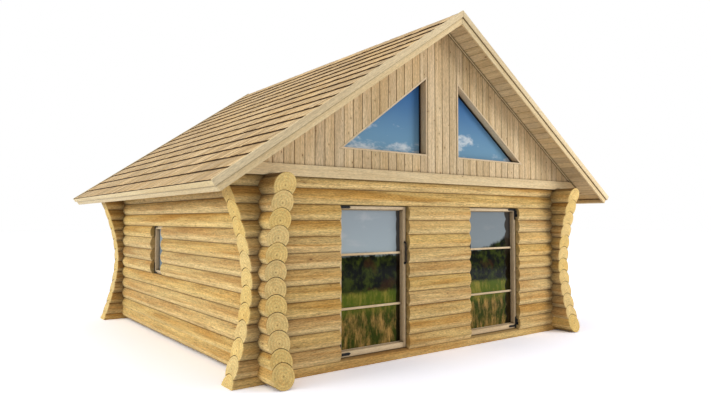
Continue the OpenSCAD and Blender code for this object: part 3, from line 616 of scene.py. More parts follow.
def xz(pts, y0, y1, bevel=0.0, segments=2):
    """Prism on an upright outline of places across and heights, from y0 to y1."""
    return prism([(x, y0, z) for x, z in pts], (0, y1 - y0, 0), bevel, segments)


def mirror(solid, axis, total=0.0):
    """Mirror image: a place on the axis and its image add up to total."""
    v, f = solid
    image = [tuple(total - c if i == axis else c for i, c in enumerate(p)) for p in v]
    return image, [tuple(reversed(q)) for q in f]


def on_side(sx, solid):
    """Solid drawn on the right, or its mirror image on the left."""
    return solid if sx > 0 else mirror(solid, 0)


def back(solid):
    return mirror(solid, 1, YF + YB)


def ring_solid(rings):
    """Closed solid from a list of rings with the same number of points."""
    n = len(rings[0])
    bm = bmesh.new()
    vs = [bm.verts.new(p) for ring in rings for p in ring]
    for k in range(0, len(vs) - n, n):
        for j in range(n):
            i = (j + 1) % n
            bm.faces.new([vs[k + j], vs[k + i], vs[k + n + i], vs[k + n + j]])
    bm.faces.new(vs[:n][::-1])
    bm.faces.new(vs[-n:])
    return from_bmesh(bm)


def disc(center, b, c, radius, n):
    """Circle of n points in the plane of b and c."""
    angles = [2 * math.pi * j / n for j in range(n)]
    return [tuple(center + (b * math.cos(a) + c * math.sin(a)) * radius) for a in angles]


def tube(path, radius, n=16):
    """Round bar along a path of points, with flat ends."""
    pts = [Vector(p) for p in path]
    rings = []
    ref = None
    for i, p in enumerate(pts):
        d = (pts[min(i + 1, len(pts) - 1)] - pts[max(i - 1, 0)]).normalized()
        if ref is None:
            ref = d.orthogonal().normalized()
        ref = (ref - d * ref.dot(d)).normalized()
        rings.append(disc(p, ref, d.cross(ref), radius, n))
    return ring_solid(rings)


def lathe(center, axis, n, profile):
    """Turned solid of n sides: profile is a list of (height, radius) along axis from center."""
    a = Vector(axis)
    b = a.orthogonal().normalized()
    return ring_solid([disc(Vector(center) + a * h, b, a.cross(b), r, n) for h, r in profile])


def merge(parts):
    v, f = [], []
    for pv, pf in parts:
        f += [tuple(i + len(v) for i in q) for q in pf]
        v += pv
    return v, f


def add_object(name, data):
    ob = bpy.data.objects.new(name, data)
    bpy.context.scene.collection.objects.link(ob)
    return ob


def temp(solid):
    me = bpy.data.meshes.new("temp")
    me.from_pydata(solid[0], [], solid[1])
    return add_object("temp", me)


def boolean(solid, cutters, keep=()):
    """Takes every cutter away, and keeps only what lies in each keep solid."""
    ob = temp(solid)
    tools = [(temp(c), "DIFFERENCE") for c in cutters] + [(temp(k), "INTERSECT") for k in keep]
    for tool, op in tools:
        m = ob.modifiers.new("cut", "BOOLEAN")
        m.operation = op
        m.solver = "MANIFOLD"
        m.object = tool
    me = ob.evaluated_get(bpy.context.evaluated_depsgraph_get()).to_mesh()
    out = [tuple(v.co) for v in me.vertices], [tuple(p.vertices) for p in me.polygons]
    for o in [ob] + [tool for tool, op in tools]:
        data = o.data
        bpy.data.objects.remove(o)
        bpy.data.meshes.remove(data)
    return out


rng = random.Random(7)
RANDOM_REACH, RANDOM_ASIDE = 91.7, 0.37
# Share of the yellow end grain on ends sawn in openings: the lower share is painted shade.
SHADED_END_SHARE = 0.3
END_FACING = 0.75
END_DEPTH = 0.01


class Piece:
    """Collects solids, each with its own grain direction, and makes one object of them."""

    def __init__(self, name):
        self.name = name
        self.v, self.f, self.wood, self.sect, self.grain, self.weight = [], [], [], [], [], []
        self.count = 0

    def add(self, verts, faces, grain, wood, sect, weight):
        self.v.append(verts)
        self.wood.append(np.stack(wood, 1))
        self.sect.append(np.stack(sect, 1))
        self.f.extend([tuple(i + self.count for i in f) for f in faces])
        self.grain.extend([grain] * len(faces))
        self.weight.extend(weight)
        self.count += len(verts)

    def solid(self, solid, along, across, rnd=None):
        """A board: along and across are unit vectors of its grain and of its width."""
        p = np.asarray(solid[0], float)
        a, b = np.asarray(along, float), np.asarray(across, float)
        rnd = rng.random() if rnd is None else rnd
        mid = (p.min(0) + p.max(0)) / 2
        u, v = (p - mid) @ b, (p - mid) @ np.cross(a, b)
        off = rnd * RANDOM_REACH
        wood = p @ a + off, u + off * RANDOM_ASIDE, v
        self.add(p, solid[1], a, wood, (u, v, np.full(len(p), rnd)), [1.0] * len(solid[1]))

    def bar(self, sx, a, b, along, across, bevel, segments=2):
        """A box between two corners on the right, or mirrored to the left."""
        self.solid(on_side(sx, box(a, b, bevel, segments)), along, across)

    def slopes(self, solid):
        """A board down the right slope and its mirror image."""
        self.solid(solid, (PC, 0, -PS), (PS, 0, PC))
        self.solid(mirror(solid, 0), (PC, 0, PS), (-PS, 0, PC))

    def log(self, solid, axis, center, shade_ends=(False, False)):
        """A round log: axis 0 runs along X, axis 1 along Y; center is its axis across the grain.

        An end sawn in an opening shows little of the yellow end grain: its darker colour there is painted
        shade.
        """
        p = np.asarray(solid[0], float)
        rnd = rng.random()
        at, u, v = p[:, axis], p[:, 1 - axis] - center[0], p[:, 2] - center[1]
        wood = at + rnd * RANDOM_REACH, np.arctan2(u, v) * R, np.hypot(u, v)
        lo, hi = at.min() + END_DEPTH, at.max() - END_DEPTH
        place = [at[list(f)].mean() for f in solid[1]]
        weight = [SHADED_END_SHARE if (shade_ends[0] and q < lo) or (shade_ends[1] and q > hi) else 1.0 for q in place]
        self.add(p, solid[1], np.eye(3)[axis], wood, (u, v, np.full(len(p), rnd)), weight)

    def build(self, material, slot, nodes=(), body=ROOT):
        me = bpy.data.meshes.new(self.name)
        me.from_pydata(np.concatenate(self.v).tolist(), [], self.f)
        me.validate()
        for key, data in (("wood", self.wood), ("sect", self.sect)):
            at = me.attributes.new(key, "FLOAT_VECTOR", "POINT")
            at.data.foreach_set("vector", np.concatenate(data).astype(np.float32).ravel())
        nrm = np.zeros(len(me.polygons) * 3, np.float32)
        me.polygons.foreach_get("normal", nrm)
        ends = np.abs((nrm.reshape(-1, 3) * np.array(self.grain)).sum(1)) > END_FACING
        at = me.attributes.new("endg", "FLOAT", "FACE")
        at.data.foreach_set("value", (ends * np.array(self.weight)).astype(np.float32))
        me.shade_smooth()
        me.set_sharp_from_angle(angle=SMOOTH_BELOW)
        me.materials.append(material)
        ob = add_object(self.name, me)
        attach(ob, body)
        if nodes:
            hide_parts(*nodes)


# Logs

N_ARC = 52
N_GROOVE = 14
N_CUT = 66
RIM = 0.016
RIM_STEPS = 3
RING_STEP = 0.6


def round_outline(r, n):
    return [(r * math.sin(2 * math.pi * j / n), r * math.cos(2 * math.pi * j / n)) for j in range(n)]


def log_outline(drop, r):
    """Outline of a log of radius r across its axis, grooved over the log that lies drop below it."""
    if drop is None:
        return round_outline(r, N_ARC + N_GROOVE + 1)
    rg = R + BED
    v = (rg * rg - r * r - drop * drop) / (2 * drop)
    u = math.sqrt(r * r - v * v)
    a1, b1 = math.atan2(u, v), math.atan2(u, v + drop)
    arc = [a1 - 2 * a1 * j / N_ARC for j in range(N_ARC + 1)]
    groove = [-b1 + 2 * b1 * j / (N_GROOVE + 1) for j in range(1, N_GROOVE + 1)]
    return ([(r * math.sin(a), r * math.cos(a)) for a in arc]
            + [(rg * math.sin(b), rg * math.cos(b) - drop) for b in groove])


def section(axis, at, center, outline, slope=0.0):
    """Outline placed round an axis along X (0) or Y (1), slanting by slope."""
    pts = [(at + slope * v, center[0] + u, center[1] + v) for u, v in outline]
    return pts if axis == 0 else [(y, x, z) for x, y, z in pts]


def log_solid(axis, end0, end1, center, drop, cuts):
    """One log along X or Y. Each end is (place at the axis, slope upwards, rounded rim or not)."""
    full = log_outline(drop, R)

    def end(place, slope, rounded, inward):
        if not rounded:
            return [section(axis, place, center, full, slope)]
        turns = [math.pi / 2 * k / RIM_STEPS for k in range(RIM_STEPS + 1)]
        return [section(axis, place + inward * RIM * (1 - math.cos(q)), center,
                        log_outline(drop, R - RIM * (1 - math.sin(q))), slope) for q in turns]

    length = end1[0] - end0[0]
    n = max(2, int(length / RING_STEP))
    mid = [section(axis, end0[0] + length * k / n, center, full) for k in range(1, n)]
    solid = ring_solid(end(*end0, 1) + mid + end(*end1, -1)[::-1])
    return boolean(solid, cuts) if cuts else solid


def notch(axis, middle, center, reach=R + NOTCH_SPARE):
    """Cutter for the seat on a crossing log, which runs along X or Y as far as reach from middle."""
    outline = round_outline(R + BED, N_CUT)
    return ring_solid([section(axis, a, center, outline) for a in (middle - reach, middle + reach)])


def above_roof(gap):
    """Space above the roof underside on the right slope, let down by gap."""
    x0, x1 = HALF_W - CUT_IN, HALF_W + SIDE_OVER
    d = gap / PC
    return xz([(x0, soffit(x0) - d), (x1, soffit(x1) - d), (x1, SOFFIT_Z), (x0, SOFFIT_Z)], -YE, YE)


def log_x(piece, i, y, x0=None, x1=None, cuts=()):
    """Front or back log; an end given as None crosses the side wall and follows the corner's curve."""
    cut = list(cuts)
    wide, deep = 2 * HALF_W, R + SPARE
    reach, slope = end_cut(front_curve, zf(i))
    end0 = (-HALF_W - reach, -slope, True) if x0 is None else (x0, 0.0, False)
    end1 = (HALF_W + reach, slope, True) if x1 is None else (x1, 0.0, False)
    if i == 0:
        cut.append(box((-wide, y - deep, -deep), (wide, y + deep, 0.0)))
    else:
        cut += [notch(1, y, (sx * HALF_W, zs(i - 1))) for sx, x in ((-1, x0), (1, x1)) if x is None]
    if i == TOP_FRONT:
        roof = above_roof(END_GAP)
        cut += [box((-wide, y - deep, SEAT_Z), (wide, y + deep, SEAT_Z + R)), roof, mirror(roof, 0)]
    center = y, zf(i)
    solid = log_solid(0, end0, end1, center, COURSE if i else None, cut)
    piece.log(solid, 0, center, (x0 is not None, x1 is not None))


def log_y(piece, k, sx, y0=None, y1=None, cuts=(), shade_ends=(False, False)):
    """Side log; an end given as None crosses the front or back wall and follows the corner's curve."""
    cut = list(cuts)
    x = sx * HALF_W
    xa, xb = x - R - SPARE, x + R + SPARE
    reach, slope = end_cut(side_curve, zs(k))
    end0 = (YF - reach, -slope, True) if y0 is None else (y0, 0.0, False)
    end1 = (YB + reach, slope, True) if y1 is None else (y1, 0.0, False)
    for wall, near in ((YF, y0 is None or y0 < YF + R), (YB, y1 is None or y1 > YB - R)):
        if near and k <= TOP_SIDE + 1:
            cut.append(notch(0, x, (wall, zf(k))))
    if k == WIN_COURSE - 1:
        cut.append(box((xa, WIN_Y0, WIN_Z0), (xb, WIN_Y1, WIN_Z0 + R)))
    if k == WIN_COURSE + WIN_COURSES:
        cut.append(box((xa, WIN_Y0, WIN_Z1 - R), (xb, WIN_Y1, WIN_Z1)))
    center = x, zs(k)
    solid = log_solid(1, end0, end1, center, zs(k) - zs(k - 1) if k else None, cut)
    piece.log(solid, 1, center, shade_ends)


def rafter_outline(grow):
    x0, x1 = RIDGE_HALF + SEAT, HALF_W + RAFTER_PAST + grow
    d, g = (RAFTER_H + grow) / PC, SEAT / PC
    return [(x0, soffit(x0) - d), (x1, soffit(x1) - d), (x1, soffit(x1) - g), (x0, soffit(x0) - g)]


def make_side_logs(sx, side):
    window = range(WIN_COURSE, WIN_COURSE + WIN_COURSES)
    p = Piece(side + "_wall_logs_turned")
    for k in range(TOP_SIDE + 1):
        if k not in window:
            log_y(p, k, sx)
    # The two top logs lie between the gables, and the roof and the rafters are let into the upper one.
    y0, y1 = LINING_Y1 + SEAT, LINING_BACK - SEAT
    log_y(p, TOP_SIDE + 1, sx, y0, y1)
    half = RAFTER_HALF + SEAT
    pockets = [xz(rafter_outline(SEAT), y - half, y + half) for y in RAFTERS]
    log_y(p, TOP_SIDE + 2, sx, y0, y1, [on_side(sx, q) for q in [above_roof(SEAT)] + pockets])
    p.build(LOG, "log_wood", [side + "_wall_logs"])
    p = Piece(side + "_window_logs_turned")
    for k in window:
        log_y(p, k, sx, y1=WIN_Y0, shade_ends=(False, True))
        log_y(p, k, sx, y0=WIN_Y1, shade_ends=(True, False))
    p.build(LOG, "log_wood", [side + "_window_logs"])


def make_end_logs():
    y0, y1 = YF - R - SPARE, YF + R + SPARE
    doors = [box((x0, y0, SILL_Z), (x1, y1, OPEN_TOP))
             for x0, x1 in ((DOOR_OFF, DOOR_FAR), (-DOOR_FAR, -DOOR_OFF))]
    lintel = DOOR_COURSES + 1
    for name, y, x0, x1, courses in (
            ("back_wall_logs", YB, None, None, range(TOP_FRONT + 1)),
            ("front_sill_log", YF, None, None, range(1)),
            ("front_logs_left", YF, None, -DOOR_FAR, range(1, lintel)),
            ("front_logs_middle", YF, -DOOR_OFF, DOOR_OFF, range(1, lintel)),
            ("front_logs_right", YF, DOOR_FAR, None, range(1, lintel)),
            ("front_lintel_logs", YF, None, None, range(lintel, TOP_FRONT + 1))):
        p = Piece(name + "_turned")
        for i in courses:
            log_x(p, i, y, x0, x1, doors if y == YF and i in (0, lintel) else ())
        p.build(LOG, "log_wood", [name])


for sx, side in SIDES:
    make_side_logs(sx, side)
make_end_logs()


# Gables


def gable_outline(z0):
    xe = under(z0, SEAT) - GABLE_CUT
    top = SEAT / PC
    return [(-xe, z0), (xe, z0), (xe, soffit(xe) - top), (0.0, SOFFIT_Z - top), (-xe, soffit(xe) - top)]


def plank_wall(z0, y0, y1, c, cuts):
    """Upright boards with joints of the chamfer c on the face y1, cut to the gable's outline."""
    n = int(math.ceil(under(z0, SEAT) / BOARD_PITCH))
    out = c if y1 > y0 else -c
    parts = []
    for k in range(-n, n):
        a, b = k * BOARD_PITCH + BOARD_GAP, (k + 1) * BOARD_PITCH - BOARD_GAP
        outline = [(a, y0), (b, y0), (b, y1 - out), (b - c, y1), (a + c, y1), (a, y1 - out)]
        parts.append(prism([(x, y, z0 - SPARE) for x, y in outline], (0, 0, SOFFIT_Z - z0 + PLANK_SPARE)))
    return boolean(merge(parts), cuts, [xz(gable_outline(z0), YF - THROUGH, YF + THROUGH)])


def add_planks(piece, solid, seed):
    """Adds a plank wall, with a grain of its own for every board."""
    v = np.array(solid[0])
    ids = np.floor(v[:, 0] / BOARD_PITCH).astype(int)
    groups = {}
    for f in solid[1]:
        groups.setdefault(ids[f[0]], []).append(f)
    for k in sorted(groups):
        used = sorted({i for f in groups[k] for i in f})
        where = {i: j for j, i in enumerate(used)}
        rnd = random.Random(seed * 1000 + int(k)).random()
        piece.solid((v[used], [tuple(where[i] for i in f) for f in groups[k]]), UP, ACROSS, rnd)


def make_gables():
    ends = [notch(1, YF, (sx * HALF_W, zs(TOP_SIDE)), THROUGH) for sx in (-1, 1)]
    window = xz(tri(0.0), YF - THROUGH, YF + THROUGH)
    windows = [window, mirror(window, 0)]
    y0 = YF - GABLE_OUT
    outer = BAND_Z0 + GABLE_UP, y0 + BOARD_T, y0, V_GABLE
    inner = SEAT_Z + SEAT, STUD_Y1 + SEAT, LINING_Y1, V_LINING
    for name, node, solid, seed, material, slot in (
            ("front_gable", "_boards", plank_wall(*outer, windows + ends), 3, GABLE, "gable_board"),
            ("back_gable", "_boards", back(plank_wall(*outer, ends)), 4, GABLE, "gable_board"),
            ("front_gable_lining", "", plank_wall(*inner, windows), 5, FRAMING, "lining_board"),
            ("back_gable_lining", "", back(plank_wall(*inner, [])), 6, FRAMING, "lining_board")):
        p = Piece(name + "_planks")
        add_planks(p, solid, seed)
        p.build(material, slot, [name + node])

    # Band boards, scribed over the top side logs.
    y1 = y0 - SEAT
    x0, x1 = under(BAND_Z0, SEAT) - BAND_CUT, under(BAND_Z1, SEAT) - BAND_CUT
    band = xz([(-x0, BAND_Z0), (x0, BAND_Z0), (x1, BAND_Z1), (-x1, BAND_Z1)], y1 - BAND_T, y1, PLANED)
    band = boolean(band, ends)
    p = Piece("gable_band_boards")
    p.solid(band, ACROSS, UP, BAND_RND[0])
    p.solid(back(band), ACROSS, UP, BAND_RND[1])
    p.build(TRIM, "gable_board", ["gable_bands"])

    # Laths in the corner between gable and roof.
    z = BAND_Z1 + SEAT
    top = soffit(SEAT)
    outline = [(SEAT, top - SEAT / PC), (SEAT, top - LATH_W / PC), (under(z, LATH_W), z), (under(z, SEAT), z)]
    lath = xz(outline, y1 - LATH_T, y1, PLANED)
    p = Piece("gable_laths")
    p.slopes(lath)
    p.slopes(back(lath))
    p.build(TRIM, "gable_trim", ["gable_trims"])


def tri_ring(piece, d0, d1, y0, y1):
    """Adds the mitred boards of both triangular frames, between outlines drawn in by d0 and d1."""
    a, b = tri(d0), tri(d1)
    for i in range(3):
        j = (i + 1) % 3
        along = Vector((a[j][0] - a[i][0], 0, a[j][1] - a[i][1])).normalized()
        solid = xz([a[i], a[j], b[j], b[i]], y0, y1, FINE)
        piece.solid(solid, along, DEEP)
        piece.solid(mirror(solid, 0), (-along[0], 0, along[2]), DEEP)


def make_gable_windows():
    p = Piece("gable_window_linings")
    tri_ring(p, SEAT, GW_FRAME, YF - GABLE_OUT - GW_PROUD, LINING_Y1)
    q = Piece("gable_window_beads")
    tri_ring(q, GW_FRAME + SEAT, GW_BEAD, GW_PANE_Y - GW_BEAD_T, GW_PANE_Y - SEAT)
    p.build(JOINERY, "joinery", ["gable_window_frames"])
    q.build(DARK_BEAD_WOOD, "joinery")
    pane = xz(tri(GW_FRAME + SEAT), GW_PANE_Y, GW_PANE_Y + PANE_T, HARD_EDGE, 1)
    g = Piece("gable_window_panes")
    g.solid(pane, ACROSS, UP)
    g.solid(mirror(pane, 0), ACROSS, UP)
    g.build(GLASS_PAINTED_SKY, "window_glass", ["gable_window_glass"])


make_gables()
make_gable_windows()


# Roof

SHINGLE_W = (0.085, 0.165)
SHINGLE_GAP = 0.0012
SHINGLE_MIN = 0.025
SHINGLE_LAP = 0.012
SHINGLE_TOE = 0.020
BUTT_EDGE = 0.004
TOP_RISE = 0.010
SHINGLE_PLAY = 0.001
FIRST_CUT = (0.05, 0.07)
BUTT_PLAY, EAVE_PLAY, BUTT_WEAR = (-0.006, 0.004), (-0.004, 0.0), 0.005


def slope_prism(st, y, sx, bevel=0.0):
    """Prism on points (down the slope, square to it), between the places y[0] and y[1]."""
    return on_side(sx, xz([sp(s, t) for s, t in st], *y, bevel))


def make_roof_boards(sx, side):
    """Boards along the ridge with V joints on the underside; the first is mitred at the ridge."""
    p = Piece(side + "_roof_planks")
    w = (FASCIA_S - VERGE_T - SEAT - 2 * FINE) / ROOF_PLANKS
    c, t = V_SOFFIT, ROOF_BOARD
    for k in range(ROOF_PLANKS):
        a, b = FINE + k * w + PLANK_GAP, FINE + (k + 1) * w - PLANK_GAP
        pts = [(a, c), (a + c, 0.0), (b - c, 0.0), (b, c), (b, t), (a, t)]
        if k == 0:
            pts = [(at_ridge(RIDGE_GAP, 0.0), 0.0)] + pts[2:5] + [(at_ridge(RIDGE_GAP, t), t)]
        p.solid(slope_prism(pts, (-ROOF_Y, ROOF_Y), sx), DEEP, (sx * PC, 0, -PS))
    p.build(SOFFIT, "roof_board", [side + "_roof_boards"])


def make_shingles(sx, side):
    """Split shingles in stepped courses, each cut to its own width and a little uneven at the butt."""
    r = random.Random(11 if sx < 0 else 12)
    p = Piece(side + "_roof_shingles")
    y1 = ROOF_Y - SHINGLE_PLAY
    s1 = FASCIA_S - SEAT
    step = (s1 + VERGE_UP / 2) / ROWS
    base = ROOF_BOARD + SEAT
    head = ROOF_BOARD + HEAD - SHINGLE_PLAY
    for j in range(ROWS):
        low = head - SHINGLE_PLAY if j else base
        y = -y1 - (FIRST_CUT[0] + FIRST_CUT[1] * r.random())
        while y < y1 - FINE:
            w = r.uniform(*SHINGLE_W)
            ya, yb = max(y, -y1) + SHINGLE_GAP, min(y + w, y1) - SHINGLE_GAP
            y += w
            if yb - ya < SHINGLE_MIN:
                continue
            sb = s1 - j * step + r.uniform(*(BUTT_PLAY if j else EAVE_PLAY))
            tb = ROOF_BOARD + BUTT - r.uniform(0.0, BUTT_WEAR)
            if j < ROWS - 1:
                # The shingle runs on under the next course, tapering.
                sh = s1 - (j + 1) * step - SHINGLE_LAP
                top = [(sh, head - 2 * SHINGLE_PLAY), (sh, base)]
            else:
                th = head + TOP_RISE
                top = [(at_ridge(SHINGLE_GAP, tb) + BUTT_EDGE, th), (at_ridge(SHINGLE_GAP, th), th),
                       (at_ridge(SHINGLE_GAP, base), base)]
            st = [(sb, low), (sb, tb - BUTT_EDGE), (sb - BUTT_EDGE, tb)] + top + [(sb - SHINGLE_TOE, base)]
            p.solid(slope_prism(st, (ya, yb), sx), (sx * PC, 0, -PS), DEEP, r.random())
    p.build(SHINGLE, "shingle", [side + "_shingles"])


def make_trim_boards():
    """Verge boards and eave boards, each with a narrower cap on its upper half."""
    half = (VERGE_UP - VERGE_DROP) / 2
    h = SEAT / 2
    for name, t0, t1, s1, y0, y1 in (
            ("barge_boards", -VERGE_DROP, VERGE_UP - CAP_UP, FASCIA_S - SEAT, CAP_T + SEAT, CAP_T + VERGE_T),
            ("barge_caps", half, VERGE_UP, EAVE_S, 0.0, CAP_T)):
        outline = [(h, soffit(h) + t0 / PC), sp(s1, t0), sp(s1, t1), (h, soffit(h) + t1 / PC)]
        front = xz(outline, y0 - YE, y1 - YE, PLANED)
        p = Piece(name + "_planed")
        p.slopes(front)
        p.slopes(mirror(front, 1))
        p.build(TRIM, "trim_board", [name])
    p = Piece("eave_fascias_planed")
    for sx in (1, -1):
        for s0, s1, t0, t1, y in (
                (FASCIA_S - VERGE_T, FASCIA_S - SEAT, -VERGE_DROP, ROOF_BOARD, ROOF_Y),
                (FASCIA_S, EAVE_S, half, VERGE_UP - EAVE_CAP_DOWN, YE - CAP_T - SEAT)):
            board = slope_prism([(s0, t0), (s1, t0), (s1, t1), (s0, t1)], (-y, y), sx, PLANED)
            p.solid(board, DEEP, (sx * PS, 0, PC))
    p.build(TRIM, "trim_board", ["eave_fascias"])


def make_rafters():
    p = Piece("rafters_sawn")
    for y in RAFTERS:
        p.slopes(xz(rafter_outline(0.0), y - RAFTER_HALF, y + RAFTER_HALF, SAWN))
    p.build(FRAMING, "framing", ["rafters"])
    x, z0, g = RIDGE_HALF, SOFFIT_Z - RIDGE_H, SEAT / PC
    outline = [(-x, z0), (x, z0), (x, soffit(x) - g), (0, SOFFIT_Z - g), (-x, soffit(x) - g)]
    p = Piece("ridge_beam_sawn")
    p.solid(xz(outline, LINING_Y1 + SEAT, LINING_BACK - SEAT, SAWN), DEEP, UP)
    p.build(FRAMING, "framing", ["ridge_beam"])


for sx, side in SIDES:
    make_roof_boards(sx, side)
    make_shingles(sx, side)
make_trim_boards()
make_rafters()


# Floor


def make_floor():
    """Planks from front to back, the ones behind a door cut off at its frame, and the joists."""
    z0 = SILL_Z + SEAT
    x0 = HALF_W - R - FLOOR_GAP
    y0, y1 = YF + R + FLOOR_GAP, YB - R - FLOOR_GAP
    w = 2 * x0 / FLOOR_PLANKS
    p = Piece("floor_planks")
    for k in range(FLOOR_PLANKS):
        a, b = -x0 + k * w + PLANK_GAP, -x0 + (k + 1) * w - PLANK_GAP
        mid = abs((a + b) / 2)
        at_door = DOOR_OFF + FINE <= mid - w / 2 and mid + w / 2 <= DOOR_FAR - FINE
        start = FRAME_Y1 + SEAT if at_door else y0
        p.bar(1, (a, start, z0), (b, y1, z0 + FLOOR_T), DEEP, ACROSS, PLANED, 1)
    p.build(FLOOR, "floor_board", ["floor_boards"])
    p = Piece("floor_joists_sawn")
    step = (2 * x0 - JOIST_W) / (JOISTS - 1)
    for j in range(JOISTS):
        x = -x0 + j * step
        p.bar(1, (x, YF + R + SEAT, 0.0), (x + JOIST_W, YB - R - SEAT, SILL_Z), DEEP, UP, SAWN, 1)
    p.build(FRAMING, "framing", ["floor_joists"])


make_floor()


# Doors

BEAD_W, BEAD_T = 0.012, 0.018
BAR_T, BAR_HALF, BAR_EDGE = 0.026, 0.015, 0.004
BAR_UP = (0.540, 1.250)
PANE_LAP = 0.0115
RAIL_GAP, RAIL_IN = 0.0002, 0.0008
STRAP_W, STRAP_L, STRAP_T, STRAP_EDGE = 0.035, 0.190, 0.005, 0.0012
STRAP_TIP, STRAP_SPEAR, STRAP_GAP = 0.020, 0.024, 0.020
BOLTS, BOLT_DOWN, BOLT_ASIDE = (0.165, 0.110, 0.060), 0.034, 0.001
BOLT = 14, [(0.0, 0.0085), (0.0015, 0.0085), (0.0036, 0.0068), (0.0048, 0.0038), (0.0051, 0.0008)]
EYE = 28, [(0.0, 0.0135), (0.0015, 0.015), (EYE_H - 0.0015, 0.015), (EYE_H, 0.0135)]
EYE_BORE = 28, [(-0.01, 0.0065), (0.06, 0.0065)]
PIN = 24, [(0.0, 0.0065), (0.0005, 0.007), (0.018, 0.007), (0.0181, 0.006), (0.0705, 0.006), (0.072, 0.0045)]
PIN_PLATE_T, PIN_PLATE_HALF, PIN_PLATE_DOWN = 0.004, 0.020, 0.030
PIN_ARM_HALF, PIN_ARM_Z, PIN_GAP = 0.005, (-0.020, -0.002), 0.0001
PULL_Z, PULL_HALF, PULL_OUT, PULL_BEND, PULL_R = 1.446, 0.146, 0.027, 0.017, 0.0095
PULL_BEND_STEPS = range(0, 91, 15)
PULL_FOOT = 22, [(0.0, 0.017), (0.003, 0.017), (0.006, 0.013), (0.007, 0.008)]


def strap_outline(w, l, leg, tip, spear, gap=0.0, inner=()):
    """L-shaped strap with pointed ends, as (inwards from the outer edge, away from the corner).

    The flat leg lies gap from the corner; inner lists the points on the inner side of the upright leg.
    """
    return [(0.0, 0.0), (0.0, leg - tip), (w / 2, leg), (w, leg - tip), (w, gap + w), (l - spear, gap + w),
            (l, gap + w / 2), (l - spear, gap)] + [(w, h) for h in inner]


def make_leaf(sx, side, x0, x1, z0, z1):
    """Stiles, rails, beads round the pane and the two bars in front of it."""
    p = Piece(side + "_door_joinery")
    for a, b in ((LEAF_X0, x0), (x1, LEAF_X1)):
        p.bar(sx, (a, LEAF_Y0, LEAF_Z0), (b, LEAF_Y1, LEAF_Z1), UP, ACROSS, LEAF_EDGE)
    for a, b in ((LEAF_Z0, z0), (z1, LEAF_Z1)):
        p.bar(sx, (x0 + RAIL_GAP, LEAF_Y0 + RAIL_IN, a), (x1 - RAIL_GAP, LEAF_Y1, b), ACROSS, UP, LEAF_EDGE)
    y0, y1 = PANE_Y - BEAD_T, PANE_Y - SEAT
    xa, xb = x0 + BEAD_W, x1 - BEAD_W
    for a, b in ((x0, xa), (xb, x1)):
        p.bar(sx, (a, y0, z0), (b, y1, z1), UP, ACROSS, FINE)
    for a, b in ((z0, z0 + BEAD_W), (z1 - BEAD_W, z1)):
        p.bar(sx, (xa, y0, a), (xb, y1, b), ACROSS, UP, FINE)
    for up in BAR_UP:
        z = z0 + up
        p.bar(sx, (xa, PANE_Y - BAR_T, z - BAR_HALF), (xb, y1, z + BAR_HALF), ACROSS, UP, BAR_EDGE)
    p.build(JOINERY, "joinery", [side + "_door_leaf"], side + "_door")


def make_straps(sx, side):
    """Corner straps with bolts and the eyes that turn on the pintles."""
    p = Piece(side + "_door_straps")
    y1 = LEAF_Y0 - SEAT
    y0 = y1 - STRAP_T
    for corner, sign, gap, inner, eye_z in (
            (LEAF_Z0, 1, STRAP_GAP, (STRAP_GAP, 0.0), EYES[0]), (LEAF_Z1, -1, 0.0, (0.0,), EYES[1])):
        def place(u, h):
            return LEAF_X1 - u, corner + sign * h

        outline = strap_outline(STRAP_W, STRAP_L, STRAP_L, STRAP_TIP, STRAP_SPEAR, gap, inner)
        plate = xz([place(u, h) for u, h in outline], y0, y1, STRAP_EDGE, 1)
        p.solid(on_side(sx, plate), UP, ACROSS)
        at = AXLE_X, AXLE_Y, eye_z
        p.solid(on_side(sx, boolean(lathe(at, UP, *EYE), [lathe(at, UP, *EYE_BORE)])), UP, ACROSS)
        spots = [(u, gap + STRAP_W / 2) for u in BOLTS]
        spots.append((STRAP_W / 2 + BOLT_ASIDE, STRAP_L - BOLT_DOWN))
        for x, z in (place(u, h) for u, h in spots):
            p.solid(on_side(sx, lathe((x, y0, z), (0, -1, 0), *BOLT)), UP, ACROSS)
    p.build(IRON, "black_iron", [side + "_door_hinges"], side + "_door")


def make_pull(sx, side):
    """Bow pull: one bent bar with round feet."""
    x, y, r = LEAF_X0 + STILE / 2, LEAF_Y0 - SEAT, PULL_BEND
    feet = (PULL_Z - PULL_HALF, 1), (PULL_Z + PULL_HALF, -1)
    path = []
    for (z, sign), angles in zip(feet, (PULL_BEND_STEPS, reversed(PULL_BEND_STEPS))):
        bend = []
        for q in (math.radians(a) for a in angles):
            bend.append((x, LEAF_Y0 - PULL_OUT + r - r * math.sin(q), z + sign * (r - r * math.cos(q))))
        path += [(x, y, z)] + bend if sign > 0 else bend + [(x, y, z)]
    p = Piece(side + "_door_pull")
    p.solid(on_side(sx, tube(path, PULL_R)), UP, ACROSS)
    for z, sign in feet:
        p.solid(on_side(sx, lathe((x, y, z), (0, -1, 0), *PULL_FOOT)), UP, ACROSS)
    p.build(IRON, "black_iron", [side + "_door_handle"], side + "_door")


def make_doors():
    x0, x1 = LEAF_X0 + STILE, LEAF_X1 - STILE
    z0, z1 = LEAF_Z0 + BOTTOM_RAIL, LEAF_Z1 - STILE
    low = x0 - PANE_LAP, PANE_Y, z0 - PANE_LAP
    high = x1 + PANE_LAP, PANE_Y + PANE_T, z1 + PANE_LAP
    for sx, side in SIDES:
        make_leaf(sx, side, x0, x1, z0, z1)
        g = Piece(side + "_door_pane")
        g.bar(sx, low, high, ACROSS, UP, HARD_EDGE, 1)
        g.build(GLASS_DOOR, "window_glass", [side + "_door_glass"], side + "_door")
        make_straps(sx, side)
        make_pull(sx, side)


